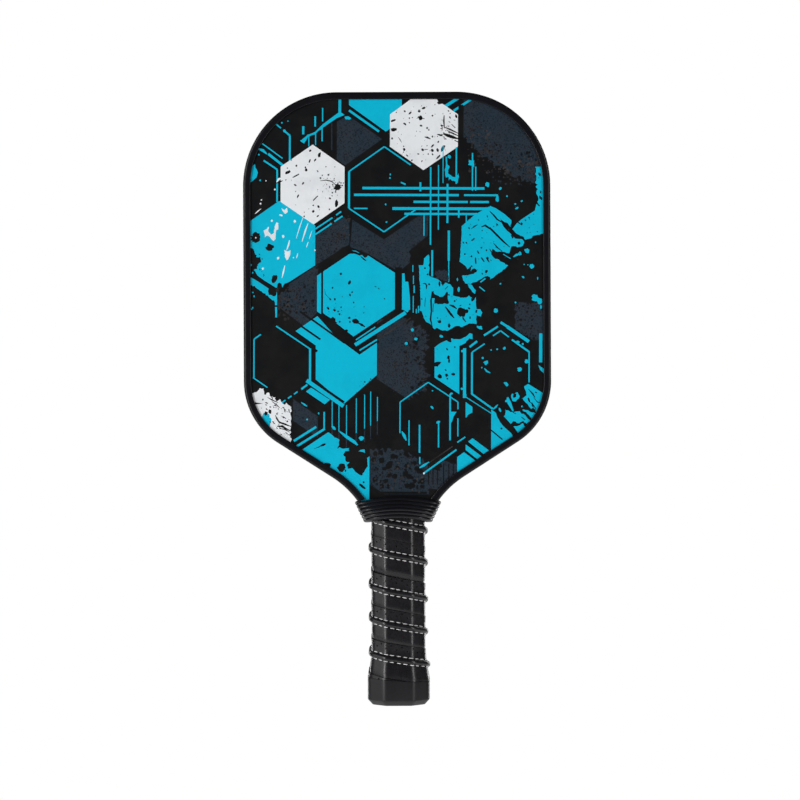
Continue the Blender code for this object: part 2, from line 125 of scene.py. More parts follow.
class Graph:
    """The nodes of one material."""

    def __init__(self, name: str) -> None:
        """Starts a material with its Principled shader.

        Args:
            name: The material's name.
        """
        self.material = bpy.data.materials.new(name)
        self.material.use_nodes = True
        self.tree = self.material.node_tree
        self.shader = self.tree.nodes["Principled BSDF"]
        self.place = self.node("ShaderNodeTexCoord").outputs["Object"]

    def node(
        self,
        kind: str,
        settings: dict[str, object] | None = None,
        inputs: dict[int | str, object] | None = None,
    ) -> bpy.types.Node:
        """Adds a node.

        Args:
            kind: The node's type.
            settings: Its properties, set first.
            inputs: Values or links of its sockets, by index or name.

        Returns:
            The node.
        """
        made = self.tree.nodes.new(kind)
        for key, setting in (settings or {}).items():
            setattr(made, key, setting)
        for key, given in (inputs or {}).items():
            self.feed(made.inputs[key], given)
        return made

    def value(
        self,
        kind: str,
        settings: dict[str, object] | None = None,
        inputs: dict[int | str, object] | None = None,
        output: int | str = 0,
    ) -> Value:
        """Adds a node and wraps one of its outputs as a number.

        Args:
            kind: The node's type.
            settings: Its properties.
            inputs: Values or links of its sockets.
            output: The output, by index or name.

        Returns:
            The number.
        """
        return Value(self, self.node(kind, settings, inputs).outputs[output])

    def feed(self, socket: bpy.types.NodeSocket, given: object) -> None:
        """Links or sets a socket.

        Args:
            socket: The input.
            given: A Value, an output socket or a plain setting.
        """
        if isinstance(given, Value):
            self.tree.links.new(given.socket, socket)
        elif isinstance(given, bpy.types.NodeSocket):
            self.tree.links.new(given, socket)
        else:
            socket.default_value = given

    def stretched(self, scale: Sequence[float]) -> bpy.types.NodeSocket:
        """Object coordinates scaled by axis.

        Args:
            scale: The factor on each axis.

        Returns:
            The coordinates' socket.
        """
        inputs = {0: self.place, 1: tuple(scale)}
        return self.node("ShaderNodeVectorMath", {"operation": "MULTIPLY"}, inputs).outputs[0]

    def noise(self, scale: float, detail: float = 2.0, across: Sequence[float] = (1, 1, 1)) -> Value:
        """Noise on Object coordinates.

        Args:
            scale: Repeats to the metre.
            detail: Octaves.
            across: Stretch of the coordinates by axis.

        Returns:
            The noise, about 0.5 on average.
        """
        inputs = {"Vector": self.stretched(across), "Scale": scale, "Detail": detail}
        return self.value("ShaderNodeTexNoise", None, inputs)

    def cells(self, scale: float, feature: str) -> Value:
        """Distance field of a Voronoi pattern on Object coordinates.

        Args:
            scale: Cells to the metre.
            feature: The kind of distance.

        Returns:
            The distance.
        """
        inputs = {"Vector": self.place, "Scale": scale}
        return self.value("ShaderNodeTexVoronoi", {"feature": feature}, inputs, "Distance")

    def mix(self, share: Value, plain: object, other: object) -> bpy.types.NodeSocket:
        """Blends two colours.

        Args:
            share: How much of the other.
            plain: Colour or socket at 0.
            other: Colour or socket at 1.

        Returns:
            The colour socket.
        """
        made = self.node("ShaderNodeMix", {"data_type": "RGBA"}, {0: share, 6: plain, 7: other})
        return made.outputs[2]

    def surface(self, **sockets: object) -> None:
        """Feeds the Principled shader, its socket names written with _ for spaces."""
        for name, given in sockets.items():
            self.feed(self.shader.inputs[name.replace("_", " ")], given)

    def relief(self, height: Value, depth: float) -> None:
        """Bumps the surface.

        Args:
            height: The height, about 0 to 1.
            depth: Its depth in millimetres.
        """
        inputs = {"Height": height, "Distance": depth * MM, "Strength": 1.0}
        self.surface(Normal=self.node("ShaderNodeBump", None, inputs).outputs[0])


@dataclass(frozen=True)
class InkFinish:
    """Printed ink on the composite skin."""

    name: str
    colour: Colour
    worn: Colour
    wear: float
    stipple: float = 0.0
    roughness: float = 0.36

    def build(self) -> bpy.types.Material:
        """Makes the ink: a satin coat over fine cloth, with wear and stippled dots.

        Returns:
            The material.
        """
        graph = Graph(self.name)
        cloudy = graph.noise(70, 4).above(0.62 - 0.2 * self.wear, 0.16) * self.wear
        colour = graph.mix(cloudy, self.colour, self.worn)
        if self.stipple:
            dots = graph.noise(1500, 2).above(0.57, 0.08) * self.stipple
            dark = tuple(0.12 * part for part in self.colour[:3]) + (1.0,)
            colour = graph.mix(dots, colour, dark)
            pale = graph.noise(900, 1).above(0.66, 0.06) * (0.6 * self.stipple)
            colour = graph.mix(pale, colour, self.worn)
        graph.surface(
            Base_Color=colour,
            Roughness=graph.noise(240, 3) * 0.1 + (self.roughness - 0.05),
            Specular_IOR_Level=0.26,
        )
        graph.relief(graph.noise(2600, 2, (1, 1, 0.55)), 0.014)
        return graph.material


@dataclass(frozen=True)
class MouldingFinish:
    """Moulded plastic or rubber with a fine satin grain."""

    name: str
    colour: Colour
    roughness: float
    grain: float = 0.02
    scale: float = 1800
    specular: float = 0.35

    def build(self) -> bpy.types.Material:
        """Makes the moulding, a little uneven in colour and in shine.

        Returns:
            The material.
        """
        graph = Graph(self.name)
        pale = tuple(1.5 * part for part in self.colour[:3]) + (1.0,)
        handled = graph.noise(55, 4)
        graph.surface(
            Base_Color=graph.mix(handled.above(0.55, 0.4) * 0.6, self.colour, pale),
            Roughness=handled * 0.14 + (self.roughness - 0.07),
            Specular_IOR_Level=self.specular,
        )
        graph.relief(graph.noise(self.scale, 3), self.grain)
        return graph.material


@dataclass(frozen=True)
class LeatherFinish:
    """Synthetic leather of the grip, with a fine pebble and rubbed high spots."""

    name: str
    colour: Colour
    rubbed: Colour
    roughness: float = 0.29

    def build(self) -> bpy.types.Material:
        """Makes the leather.

        Returns:
            The material.
        """
        graph = Graph(self.name)
        pebble = graph.cells(1150, "SMOOTH_F1")
        creases = graph.noise(420, 4)
        rubbing = graph.noise(95, 4).above(0.56, 0.25) * 0.7
        graph.surface(
            Base_Color=graph.mix(rubbing, self.colour, self.rubbed),
            Roughness=(creases * 0.16) + (self.roughness - 0.08),
            Specular_IOR_Level=0.5,
        )
        graph.relief(pebble * 0.6 + creases * 0.7, 0.018)
        return graph.material


@dataclass(frozen=True)
class ThreadFinish:
    """Sewing thread, its twist shown as fine slanting ridges."""

    name: str
    colour: Colour
    soiled: Colour

    def build(self) -> bpy.types.Material:
        """Makes the thread.

        Returns:
            The material.
        """
        graph = Graph(self.name)
        settings = {"wave_type": "BANDS", "bands_direction": "DIAGONAL"}
        inputs = {"Vector": graph.place, "Scale": 900.0, "Distortion": 1.5}
        twist = graph.value("ShaderNodeTexWave", settings, inputs, "Fac")
        soil = graph.noise(130, 3).above(0.55, 0.3) * 0.7
        graph.surface(
            Base_Color=graph.mix(soil, self.colour, self.soiled),
            Roughness=twist * 0.1 + 0.7,
            Sheen_Weight=0.2,
        )
        graph.relief(twist, 0.05)
        return graph.material


class Model:
    """Adds the finished pieces to the scene and keeps them in order."""

    @staticmethod
    def add(
        name: str,
        bm: bmesh.types.BMesh,
        material: bpy.types.Material,
        replaces: Sequence[str],
        slot: str,
        sharp: float = 40.0,
        mend: bool = True,
    ) -> bpy.types.Object:
        """Turns a bmesh in millimetres into a piece that rides on the paddle.

        Args:
            name: The piece's name.
            bm: Its shape, freed here.
            material: Its finish.
            replaces: CAD nodes that it stands for.
            slot: Name of a material slot; not used.
            sharp: Angle in degrees past which an edge stays sharp.
            mend: Whether its faces are turned to point outwards.

        Returns:
            The piece.
        """
        if mend:
            bmesh.ops.remove_doubles(bm, verts=bm.verts, dist=0.0005)
            bmesh.ops.recalc_face_normals(bm, faces=bm.faces)
        bmesh.ops.scale(bm, vec=(MM, MM, MM), verts=bm.verts)
        mesh = bpy.data.meshes.new(name)
        bm.to_mesh(mesh)
        bm.free()
        mesh.materials.append(material)
        mesh.shade_smooth()
        mesh.set_sharp_from_angle(angle=math.radians(sharp))
        piece = bpy.data.objects.new(name, mesh)
        bpy.context.scene.collection.objects.link(piece)
        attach(piece, BODY)
        if replaces:
            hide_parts(*replaces)
        LOG.info("%s: %d faces", name, len(mesh.polygons))
        return piece

    @staticmethod
    def dress(node: str, material: bpy.types.Material) -> None:
        """Gives a CAD node its finish.

        Args:
            node: The node's name.
            material: Its finish.
        """
        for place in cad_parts[node].material_slots:
            place.material = material
        LOG.info("%s: CAD node dressed", node)


@dataclass
class Head:
    """Outline of the head as its arcs and straights, seen from the front."""

    half_width: float
    top: float
    crown_radius: float = 62.3
    shoulder_radius: float = 48.1
    shoulder_z: float = 214.55
    shoulder_angle: float = math.radians(57.4)
    throat_radius: float = 61.7
    throat_half_width: float = 43.65
    throat_angle: float = math.radians(33.0)

    @property
    def crown(self) -> Vector:
        """Middle of the crown's corner arc."""
        return Vector((self.half_width - self.crown_radius, 0.0, self.top - self.crown_radius))

    @property
    def shoulder(self) -> Vector:
        """Middle of the shoulder's arc."""
        return Vector((self.half_width - self.shoulder_radius, 0.0, self.shoulder_z))

    @property
    def slope(self) -> Vector:
        """Direction down the straight shoulder."""
        return Vector((-math.sin(self.shoulder_angle), 0.0, -math.cos(self.shoulder_angle)))

    @property
    def slope_length(self) -> float:
        """Length of the straight shoulder."""
        start = self.shoulder.x + self.shoulder_radius * math.cos(self.shoulder_angle)
        return (start - self.throat_half_width) / math.sin(self.shoulder_angle)

    @property
    def throat(self) -> Vector:
        """Middle of the throat's arc, which lies outside the head."""
        outwards = Vector((-self.slope.z, 0.0, self.slope.x))
        start = self.shoulder + self.shoulder_radius * outwards + self.slope_length * self.slope
        return start + self.throat_radius * outwards

    def side(self, inset: float) -> list[Point]:
        """Right half of the outline moved inwards.

        Args:
            inset: How far inwards.

        Returns:
            Its points, from the crown down to the throat.
        """
        points = []
        turn = self.shoulder_angle
        runs = (
            (self.crown, self.crown_radius - inset, math.pi / 2, 0.0, 24),
            (self.shoulder, self.shoulder_radius - inset, 0.0, -turn, 16),
            (self.throat, self.throat_radius + inset, math.pi - turn, math.pi - self.throat_angle, 8),
        )
        for centre, radius, start, end, steps in runs:
            for i in range(steps + 1):
                angle = start + (end - start) * i / steps
                points.append((centre.x + radius * math.cos(angle), centre.z + radius * math.sin(angle)))
        return points


class Sweep:
    """Carries a ring of edges along runs and round turns."""

    def __init__(self, bm: bmesh.types.BMesh, ring: list[bmesh.types.BMEdge]) -> None:
        """Starts at a ring.

        Args:
            bm: The mesh that holds it.
            ring: Its edges.
        """
        self.bm = bm
        self.ring = ring

    def run(self, offset: Vector) -> "Sweep":
        """Extrudes the ring straight on.

        Args:
            offset: Where it goes.

        Returns:
            This sweep.
        """
        made = bmesh.ops.extrude_edge_only(self.bm, edges=self.ring)["geom"]
        verts = {part for part in made if isinstance(part, bmesh.types.BMVert)}
        edges = [part for part in made if isinstance(part, bmesh.types.BMEdge)]
        self.ring = [edge for edge in edges if set(edge.verts) <= verts]
        bmesh.ops.translate(self.bm, verts=list(verts), vec=offset)
        return self

    def turn(self, centre: Vector, angle: float, steps: int) -> "Sweep":
        """Spins the ring about an axis along Y.

        Args:
            centre: A point on the axis.
            angle: The turn in radians.
            steps: The number of new rings.

        Returns:
            This sweep.
        """
        axis = (0.0, 1.0, 0.0)
        made = bmesh.ops.spin(self.bm, geom=self.ring, cent=centre, axis=axis, angle=angle, steps=steps)
        self.ring = [part for part in made["geom_last"] if isinstance(part, bmesh.types.BMEdge)]
        return self


@dataclass
class EdgeGuard:
    """The moulded strip of U section round the head."""

    head: Head
    finish: MouldingFinish
    half_depth: float
    wall: float = 1.6
    lip: float = 5.0
    lip_thickness: float = 1.1
    rounding: float = 1.9
    lip_rounding: float = 0.5
    end_x: float = 28.0
    end_z: float = 134.6
    end_slope: float = 0.26

    def section(self, bm: bmesh.types.BMesh) -> list[bmesh.types.BMEdge]:
        """Draws the U at the middle of the crown, its outer corners rounded.

        Args:
            bm: The mesh to draw in.

        Returns:
            The ring of edges.
        """
        outer, inner = self.half_depth, self.half_depth - self.lip_thickness
        half = [(0.0, outer), (self.lip, outer), (self.lip, inner), (self.wall, inner)]
        corners = half + [(inset, -y) for inset, y in reversed(half)]
        verts = [bm.verts.new((0.0, y, self.head.top - inset)) for inset, y in corners]
        bm.faces.new(verts)
        for pair, offset, segments in (
            ((verts[0], verts[7]), self.rounding, 8),
            ((verts[1], verts[6]), self.lip_rounding, 3),
        ):
            bmesh.ops.bevel(
                bm,
                geom=list(pair),
                offset=offset,
                segments=segments,
                profile=0.5,
                affect="VERTICES",
                material=-1,
            )
        bmesh.ops.delete(bm, geom=bm.faces[:], context="FACES_ONLY")
        return bm.edges[:]

    def build(self) -> None:
        """Sweeps one half from the crown to the throat, cuts its end and mirrors it."""
        head = self.head
        bm = bmesh.new()
        sweep = Sweep(bm, self.section(bm))
        sweep.run(Vector((head.crown.x, 0.0, 0.0))).turn(head.crown, math.pi / 2, 32)
        sweep.run(Vector((0.0, 0.0, head.shoulder_z - head.crown.z)))
        sweep.turn(head.shoulder, head.shoulder_angle, 20).run(head.slope * head.slope_length)
        sweep.turn(head.throat, head.throat_angle - head.shoulder_angle, 12)
        parts = bm.verts[:] + bm.edges[:] + bm.faces[:]
        away = (-self.end_slope, 0.0, -1.0)
        end = (self.end_x, 0.0, self.end_z)
        bmesh.ops.bisect_plane(bm, geom=parts, plane_co=end, plane_no=away, clear_outer=True)
        low_rim = [e for e in bm.edges if e.is_boundary and e.verts[0].co.z < head.top / 2]
        bmesh.ops.holes_fill(bm, edges=low_rim, sides=0)
        bmesh.ops.mirror(bm, geom=bm.verts[:] + bm.edges[:] + bm.faces[:], axis="X", merge_dist=0.001)
        Model.add("edge_guard_strip", bm, self.finish.build(), ["edge_guard"], "guard_plastic")


class Ink(Enum):
    """Colours of the print, in the order of their pieces."""

    BLACK = "black"
    CYAN = "cyan"
    WHITE = "white"
    SLATE = "slate"
    GRIME = "grime"


INKS = {
    Ink.BLACK: InkFinish("ink_black", tint(11, 12, 14), tint(24, 23, 23), 0.5),
    Ink.CYAN: InkFinish("ink_cyan", tint(0, 184, 216), tint(2, 168, 198), 0.3),
    Ink.WHITE: InkFinish("ink_white", tint(232, 235, 238), tint(208, 212, 217), 0.4),
    Ink.SLATE: InkFinish("ink_slate", tint(35, 49, 61), tint(46, 50, 58), 0.6, stipple=0.75),
    Ink.GRIME: InkFinish("ink_grime", tint(62, 58, 58), tint(34, 33, 34), 0.8, stipple=0.6),
}


class Artwork:
    """A print of pointed hexagons, torn edges, strips and splashes, laid down in painting order."""

    rise = 0.695  # slope of a hexagon's slanting sides
    tear_step = 0.9

    def __init__(self, outline: list[Point], seed: int) -> None:
        """Starts with the black ground.

        Args:
            outline: Outline of the whole print.
            seed: Seed of its random tears and splashes.
        """
        self.shapes: list[tuple[Ink, list[Point]]] = [(Ink.BLACK, outline)]
        self.random = random.Random(seed)

    def patch(self, ink: Ink, points: Sequence[Point], torn: Iterable[int] = (), depth: float = 0.9) -> None:
        """Adds an area, some of whose sides are torn.

        Args:
            ink: Its colour.
            points: Its corners in order.
            torn: Numbers of the sides that are torn, each from its corner to the next.
            depth: How deep the tears go.
        """
        ragged = set(torn)
        inwards = 1.0 if self.area(points) > 0 else -1.0
        outline = []
        for number, start in enumerate(points):
            end = points[(number + 1) % len(points)]
            outline.append(start)
            if number not in ragged:
                continue
            along = Vector(end) - Vector(start)
            across = Vector((-along.y, along.x)).normalized() * inwards
            steps = max(2, int(along.length / self.tear_step))
            waves = [(self.random.uniform(0.5, 1.3), self.random.uniform(0.0, 6.3)) for _ in range(3)]
            for i in range(1, steps):
                slip = self.random.uniform(-0.3, 0.3)
                bite = 0.3 * sum(math.sin(pace * i + phase) for pace, phase in waves)
                bite += self.random.gauss(0.2, 0.22)
                if self.random.random() < 0.12:
                    bite += self.random.uniform(0.6, 1.6)
                place = Vector(start) + along * ((i + slip) / steps) + across * bite * depth
                outline.append((place.x, place.y))
        self.shapes.append((ink, outline))

    @staticmethod
    def area(points: Sequence[Point]) -> float:
        """Signed area of an outline, above 0 if it runs anticlockwise."""
        closed = [*points, points[0]]
        return sum(a[0] * b[1] - b[0] * a[1] for a, b in zip(closed, closed[1:])) / 2

    def turn(self, angle: float, height: float) -> None:
        """Turns all but the ground about a point on the middle line.

        Args:
            angle: The turn in radians, clockwise.
            height: Height of the point.
        """
        for number, (ink, points) in enumerate(self.shapes[1:], 1):
            turned = [(x + angle * (z - height), z - angle * x) for x, z in points]
            self.shapes[number] = (ink, turned)

    def hexagon(self, ink: Ink, x: float, z: float, half_width: float, half_side: float) -> None:
        """Adds a hexagon with its points up and down.

        Args:
            ink: Its colour.
            x: Middle across.
            z: Middle's height.
            half_width: Half its width.
            half_side: Half the length of its upright sides.
        """
        tip = half_side + half_width * self.rise
        right = [(x, z + tip), (x + half_width, z + half_side), (x + half_width, z - half_side)]
        left = [(x, z - tip), (x - half_width, z - half_side), (x - half_width, z + half_side)]
        self.patch(ink, list(reversed(right + left)))

    def bar(self, ink: Ink, start: Point, end: Point, width: float) -> None:
        """Adds a straight strip.

        Args:
            ink: Its colour.
            start: Middle of one end.
            end: Middle of the other.
            width: Its width.
        """
        along = Vector(end) - Vector(start)
        half = Vector((-along.y, along.x)).normalized() * width / 2
        corners = (Vector(start) - half, Vector(end) - half, Vector(end) + half, Vector(start) + half)
        self.shapes.append((ink, [(corner.x, corner.y) for corner in corners]))

    def line(self, ink: Ink, points: Sequence[Point], width: float) -> None:
        """Adds strips from point to point.

        Args:
            ink: Their colour.
            points: The points in order.
            width: Their width.
        """
        for start, end in zip(points, points[1:]):
            self.bar(ink, start, end, width)

    def stroke(self, ink: Ink, points: Sequence[Point], width: float) -> None:
        """Adds a brush stroke that thins out at both ends.

        Args:
            ink: Its colour.
            points: Points along it.
            width: Its greatest width.
        """
        count = len(points) - 1
        sides: list[list[Point]] = [[], []]
        for i, point in enumerate(points):
            along = Vector(points[min(i + 1, count)]) - Vector(points[max(i - 1, 0)])
            across = Vector((-along.y, along.x)).normalized()
            fullness = 0.35 if i in (0, count) else 1.1
            if count == 1:
                fullness = 0.9
            reach = width / 2 * (fullness + self.random.uniform(0.0, 0.2))
            for side, sign in zip(sides, (1, -1)):
                place = Vector(point) + across * reach * sign
                side.append((place.x, place.y))
        self.shapes.append((ink, sides[0] + sides[1][::-1]))

    def upright(self, ink: Ink, x: float, low: float, high: float, width: float) -> None:
        """Adds an upright strip."""
        self.bar(ink, (x, low), (x, high), width)

    def level(self, ink: Ink, z: float, left: float, right: float, width: float) -> None:
        """Adds a level strip."""
        self.bar(ink, (left, z), (right, z), width)

    def blob(
        self, ink: Ink, x: float, z: float, radius: float, stretch: float = 1.0, lean: float = 0.0
    ) -> None:
        """Adds a drop with an uneven edge.

        Args:
            ink: Its colour.
            x: Its middle across.
            z: Its middle in height.
            radius: Its mean radius.
            stretch: How much longer than wide it is.
            lean: Turn of its long way from the vertical, in degrees.
        """
        count = 8 if radius < 1.0 else 14 if radius < 3.0 else 26
        uneven = 0.08 if radius < 1.0 else 0.14
        turn = Matrix.Rotation(math.radians(lean), 2)
        points = []
        for i in range(count):
            angle = 2 * math.pi * i / count
            reach = radius * (1 + self.random.gauss(0.0, uneven))
            place = turn @ Vector((reach * math.cos(angle), reach * stretch * math.sin(angle)))
            points.append((x + place.x, z + place.y))
        self.shapes.append((ink, points))

    def splat(self, ink: Ink, x: float, z: float, radius: float, drops: int) -> None:
        """Adds a splash: a spiky blot with drops thrown round it."""
        points = []
        spikes = 30
        for i in range(spikes):
            angle = 2 * math.pi * i / spikes
            reach = radius * self.random.uniform(0.72, 0.95)
            if self.random.random() < 0.3:
                reach = radius * self.random.uniform(1.05, 1.5)
            points.append((x + reach * math.cos(angle), z + reach * math.sin(angle)))
        self.shapes.append((ink, points))
        for _ in range(drops):
            angle = self.random.uniform(0.0, 2 * math.pi)
            away = radius * self.random.uniform(1.2, 2.1)
            size = self.random.uniform(0.2, 0.55)
            self.blob(ink, x + away * math.cos(angle), z + away * math.sin(angle), size)

    def flecks(
        self,
        ink: Ink,
        x: float,
        z: float,
        spread: Point,
        count: int,
        size: Point = (0.2, 0.6),
        stretch: float = 1.0,
        lean: float = 0.0,
    ) -> None:
        """Scatters small drops or strokes.

        Args:
            ink: Their colour.
            x: Middle of the area across.
            z: Middle of the area in height.
            spread: Half width and half height of the area.
            count: How many.
            size: Smallest and largest radius.
            stretch: How much longer than wide they are.
            lean: Turn of their long way from the vertical, in degrees.
        """
        for _ in range(count):
            place_x = x + self.random.uniform(-1, 1) * spread[0]
            place_z = z + self.random.uniform(-1, 1) * spread[1]
            radius = size[0] + (size[1] - size[0]) * self.random.random() ** 2
            long = 1 + (stretch - 1) * self.random.uniform(0.5, 1.3)
            self.blob(ink, place_x, place_z, radius, long, lean + self.random.uniform(-12, 12))

    def each(self, draw: Callable[..., None], ink: Ink, rows: Iterable[Sequence[object]]) -> None:
        """Draws one shape for each row, in order.

        Args:
            draw: The method that draws a shape.
            ink: Their colour.
            rows: The method's further arguments.
        """
        for row in rows:
            draw(ink, *row)

    def covers(self, number: int, place: Vector) -> bool:
        """Whether a point lies in a shape. The ground covers everything.

        Args:
            number: The shape's number in painting order.
            place: The point.

        Returns:
            True if it does.
        """
        if number == 0:
            return True
        points = self.shapes[number][1]
        inside = False
        for (x0, z0), (x1, z1) in zip(points, [*points[1:], points[0]]):
            if (z0 > place.y) != (z1 > place.y) and place.x < x0 + (x1 - x0) * (place.y - z0) / (z1 - z0):
                inside = not inside
        return inside

    def regions(self) -> dict[Ink, bmesh.types.BMesh]:
        """Cuts the print into pieces that meet edge to edge.

        Returns:
            A flat bmesh for each ink, in the XZ plane.
        """
        verts: list[Vector] = []
        faces: list[list[int]] = []
        for _, points in self.shapes:
            ordered = points if self.area(points) > 0 else list(reversed(points))
            faces.append(list(range(len(verts), len(verts) + len(ordered))))
            verts += [Vector(point) for point in ordered]
        places, _, triangles, _, _, owners = delaunay_2d_cdt(verts, [], faces, 1, 1e-4)
        found: dict[Ink, bmesh.types.BMesh] = {ink: bmesh.new() for ink in Ink}
        corners: dict[Ink, dict[int, bmesh.types.BMVert]] = {ink: {} for ink in Ink}
        for triangle, owner in zip(triangles, owners):
            if 0 not in owner:
                continue
            middle = sum((places[number] for number in triangle), Vector((0.0, 0.0))) / 3
            top = next(number for number in sorted(owner, reverse=True) if self.covers(number, middle))
            ink = self.shapes[top][0]
            bm, known = found[ink], corners[ink]
            for number in triangle:
                if number not in known:
                    known[number] = bm.verts.new((places[number].x, 0.0, places[number].y))
            bm.faces.new([known[number] for number in triangle])
        return found


class PaddlePrint(Artwork):
    """The paddle's own arrangement of the print."""

    def draw(self) -> None:
        """Lays the print down, group by group, from the ground up."""
        self.slate_grounds()
        self.crown()
        self.upper_left()
        self.outlined_hexagon()
        self.white_hexagons()
        self.crossing_lines()
        self.right_shoulder()
        self.left_cyan()
        self.centre()
        self.lattice()
        self.torn_middle()
        self.lower_left()
        self.lower_right()
        self.throat()
        self.turn(0.0075, 250.0)

    def slate_grounds(self) -> None:
        """The slate areas under everything else, with their grimy margins."""
        top_left = [
            (-40.5, 361.5), (-40.5, 386.5), (-35.0, 389.5), (-31.5, 389.5), (-10.5, 375.0), (-35.0, 357.5),
        ]
        self.patch(Ink.SLATE, top_left)
        top_right = [
            (43.5, 410.0), (43.5, 376.0), (55.0, 365.0), (73.0, 352.0), (86.0, 347.0), (104.0, 346.0),
        ]
        self.patch(Ink.SLATE, [*top_right, (104.0, 410.0)], torn=(1, 2, 3, 4), depth=1.8)
        self.flecks(Ink.GRIME, 70.0, 360.0, (24.0, 7.0), 90, (0.3, 1.1))
        self.flecks(Ink.BLACK, 72.0, 362.0, (24.0, 11.0), 120, (0.25, 0.9))
        self.flecks(Ink.GRIME, 84.0, 354.0, (14.0, 7.0), 70, (0.3, 1.2))
        self.flecks(Ink.GRIME, 54.0, 374.0, (9.0, 10.0), 50, (0.3, 1.1))
        self.flecks(Ink.SLATE, 76.0, 349.0, (20.0, 5.0), 40, (0.25, 0.9))
        beside = [
            (-54.5, 291.0), (-35.0, 303.5), (-32.0, 305.0), (-32.0, 320.5), (-36.0, 323.4), (-54.5, 310.6),
        ]
        self.patch(Ink.SLATE, beside)
        self.flecks(Ink.GRIME, -38.0, 315.0, (7.0, 9.0), 46, (0.3, 1.1))
        self.flecks(Ink.BLACK, -44.0, 307.0, (10.0, 11.0), 26, (0.2, 0.7))
        below_left = [
            (-70.5, 279.6), (-54.6, 290.4), (-52.0, 291.5), (-53.4, 284.2), (-53.4, 259.8), (-62.0, 250.6),
        ]
        self.patch(Ink.SLATE, [*below_left, (-79.5, 262.0), (-79.5, 271.0), (-75.0, 274.0)], (6, 7, 8), 1.0)
        self.flecks(Ink.GRIME, -71.0, 266.0, (9.0, 11.0), 80, (0.3, 1.3))
        self.flecks(Ink.BLACK, -67.0, 268.0, (12.0, 9.0), 60, (0.3, 0.9))
        self.each(self.bar, Ink.BLACK, [
            ((-35.0, 303.0), (-54.0, 289.0), 1.6), ((-78.0, 262.0), (-63.5, 251.0), 1.4),
            ((-64.5, 260.5), (-57.5, 255.5), 1.4),
        ])
        chevron = [(-30.0, 321.5), (-31.5, 303.5), (-19.5, 299.0), (1.0, 287.0), (8.5, 293.5), (8.5, 301.5)]
        chevron += [(20.0, 311.0), (20.5, 324.5), (14.5, 324.5), (-9.0, 308.5)]
        self.patch(Ink.SLATE, chevron, torn=(4,), depth=1.0)
        middle = [(-13.5, 255.0), (-13.5, 216.0), (8.0, 202.0), (21.5, 211.0), (19.0, 232.0), (22.0, 248.0)]
        self.patch(Ink.SLATE, [*middle, (4.0, 257.0)], torn=(2, 3, 4, 5), depth=2.4)
        self.flecks(Ink.BLACK, 14.0, 232.0, (9.0, 22.0), 90, (0.3, 1.3))
        self.flecks(Ink.GRIME, 8.0, 222.0, (12.0, 16.0), 60, (0.3, 0.9))
        for x, z in ((10.0, 248.5), (12.5, 242.5), (6.0, 239.5)):
            self.blob(Ink.CYAN, x, z, 1.0)
        self.patch(
            Ink.SLATE,
            [(78.0, 267.0), (78.0, 249.0), (90.0, 242.0), (104.0, 242.0), (104.0, 267.0)],
            (0, 1, 4),
        )
        self.flecks(Ink.BLACK, 88.0, 255.0, (10.0, 12.0), 50, (0.3, 1.0))
        low_left = [(-69.0, 202.5), (-69.0, 188.0), (-52.5, 177.0), (-52.5, 191.0)]
        self.patch(Ink.SLATE, low_left)
        throat = [(-18.0, 169.5), (-18.0, 146.0), (-8.0, 139.5), (21.5, 139.5), (21.5, 160.0), (4.0, 169.5)]
        self.patch(Ink.SLATE, throat, torn=(3, 4, 5), depth=2.0)
        self.patch(Ink.SLATE, [(18.5, 158.0), (18.5, 144.0), (31.5, 142.0), (31.5, 154.0)], (0,), 1.2)
        self.patch(Ink.SLATE, [(28.5, 163.5), (28.5, 148.0), (39.5, 145.0), (39.5, 160.0)], (0, 3), 1.2)
        for x in (21.0, 24.0, 27.0, 31.0, 34.5, 37.5):
            self.upright(Ink.BLACK, x, 146.0, 160.0, 0.7)
        self.level(Ink.BLACK, 140.5, -16.0, 20.0, 1.4)
        self.flecks(Ink.BLACK, 0.0, 155.0, (18.0, 12.0), 130, (0.4, 2.0))
        self.flecks(Ink.GRIME, 2.0, 152.0, (17.0, 11.0), 60, (0.3, 0.9))

    def crown(self) -> None:
        """The cut-off hexagon and the strips at the crown."""
        body = [(-32.5, 410.0), (-32.5, 397.5), (-8.0, 380.0), (2.5, 387.0), (2.5, 410.0)]
        self.patch(Ink.CYAN, body)
        self.bar(Ink.BLACK, (-34.0, 396.5), (-8.0, 378.3), 1.0)
        self.bar(Ink.CYAN, (-32.5, 394.0), (-12.5, 380.0), 1.5)
        self.blob(Ink.CYAN, -33.2, 388.9, 1.1, 2.0, 80.0)
        self.upright(Ink.CYAN, -38.6, 391.0, 402.5, 1.8)
        arrow = [
            (-38.6, 393.2), (-35.4, 391.0), (-40.6, 388.8), (-49.6, 382.6), (-55.4, 377.8), (-59.6, 376.4),
        ]
        arrow += [
            (-62.2, 371.6), (-65.0, 374.0), (-62.6, 375.4), (-60.0, 377.8), (-55.0, 379.6), (-50.0, 384.6),
        ]
        self.patch(Ink.CYAN, arrow, (3, 4, 5, 6, 7, 8, 9), 0.3)
        self.each(self.upright, Ink.CYAN, [
            (-62.8, 378.0, 383.4, 1.5), (-59.1, 370.0, 377.0, 0.7), (-54.9, 383.2, 390.0, 1.1),
            (-54.6, 371.0, 379.0, 0.7), (-50.0, 386.6, 395.6, 0.8), (-50.3, 373.4, 382.0, 0.8),
        ])
        self.upright(Ink.SLATE, -43.9, 367.5, 386.0, 0.8)
        self.bar(Ink.CYAN, (31.5, 397.0), (40.0, 402.5), 2.0)
        self.bar(Ink.CYAN, (37.0, 394.0), (50.0, 402.6), 1.5)
        self.upright(Ink.BLACK, 41.7, 371.0, 398.0, 3.4)
        self.bar(Ink.CYAN, (31.5, 397.0), (41.5, 403.7), 1.6)

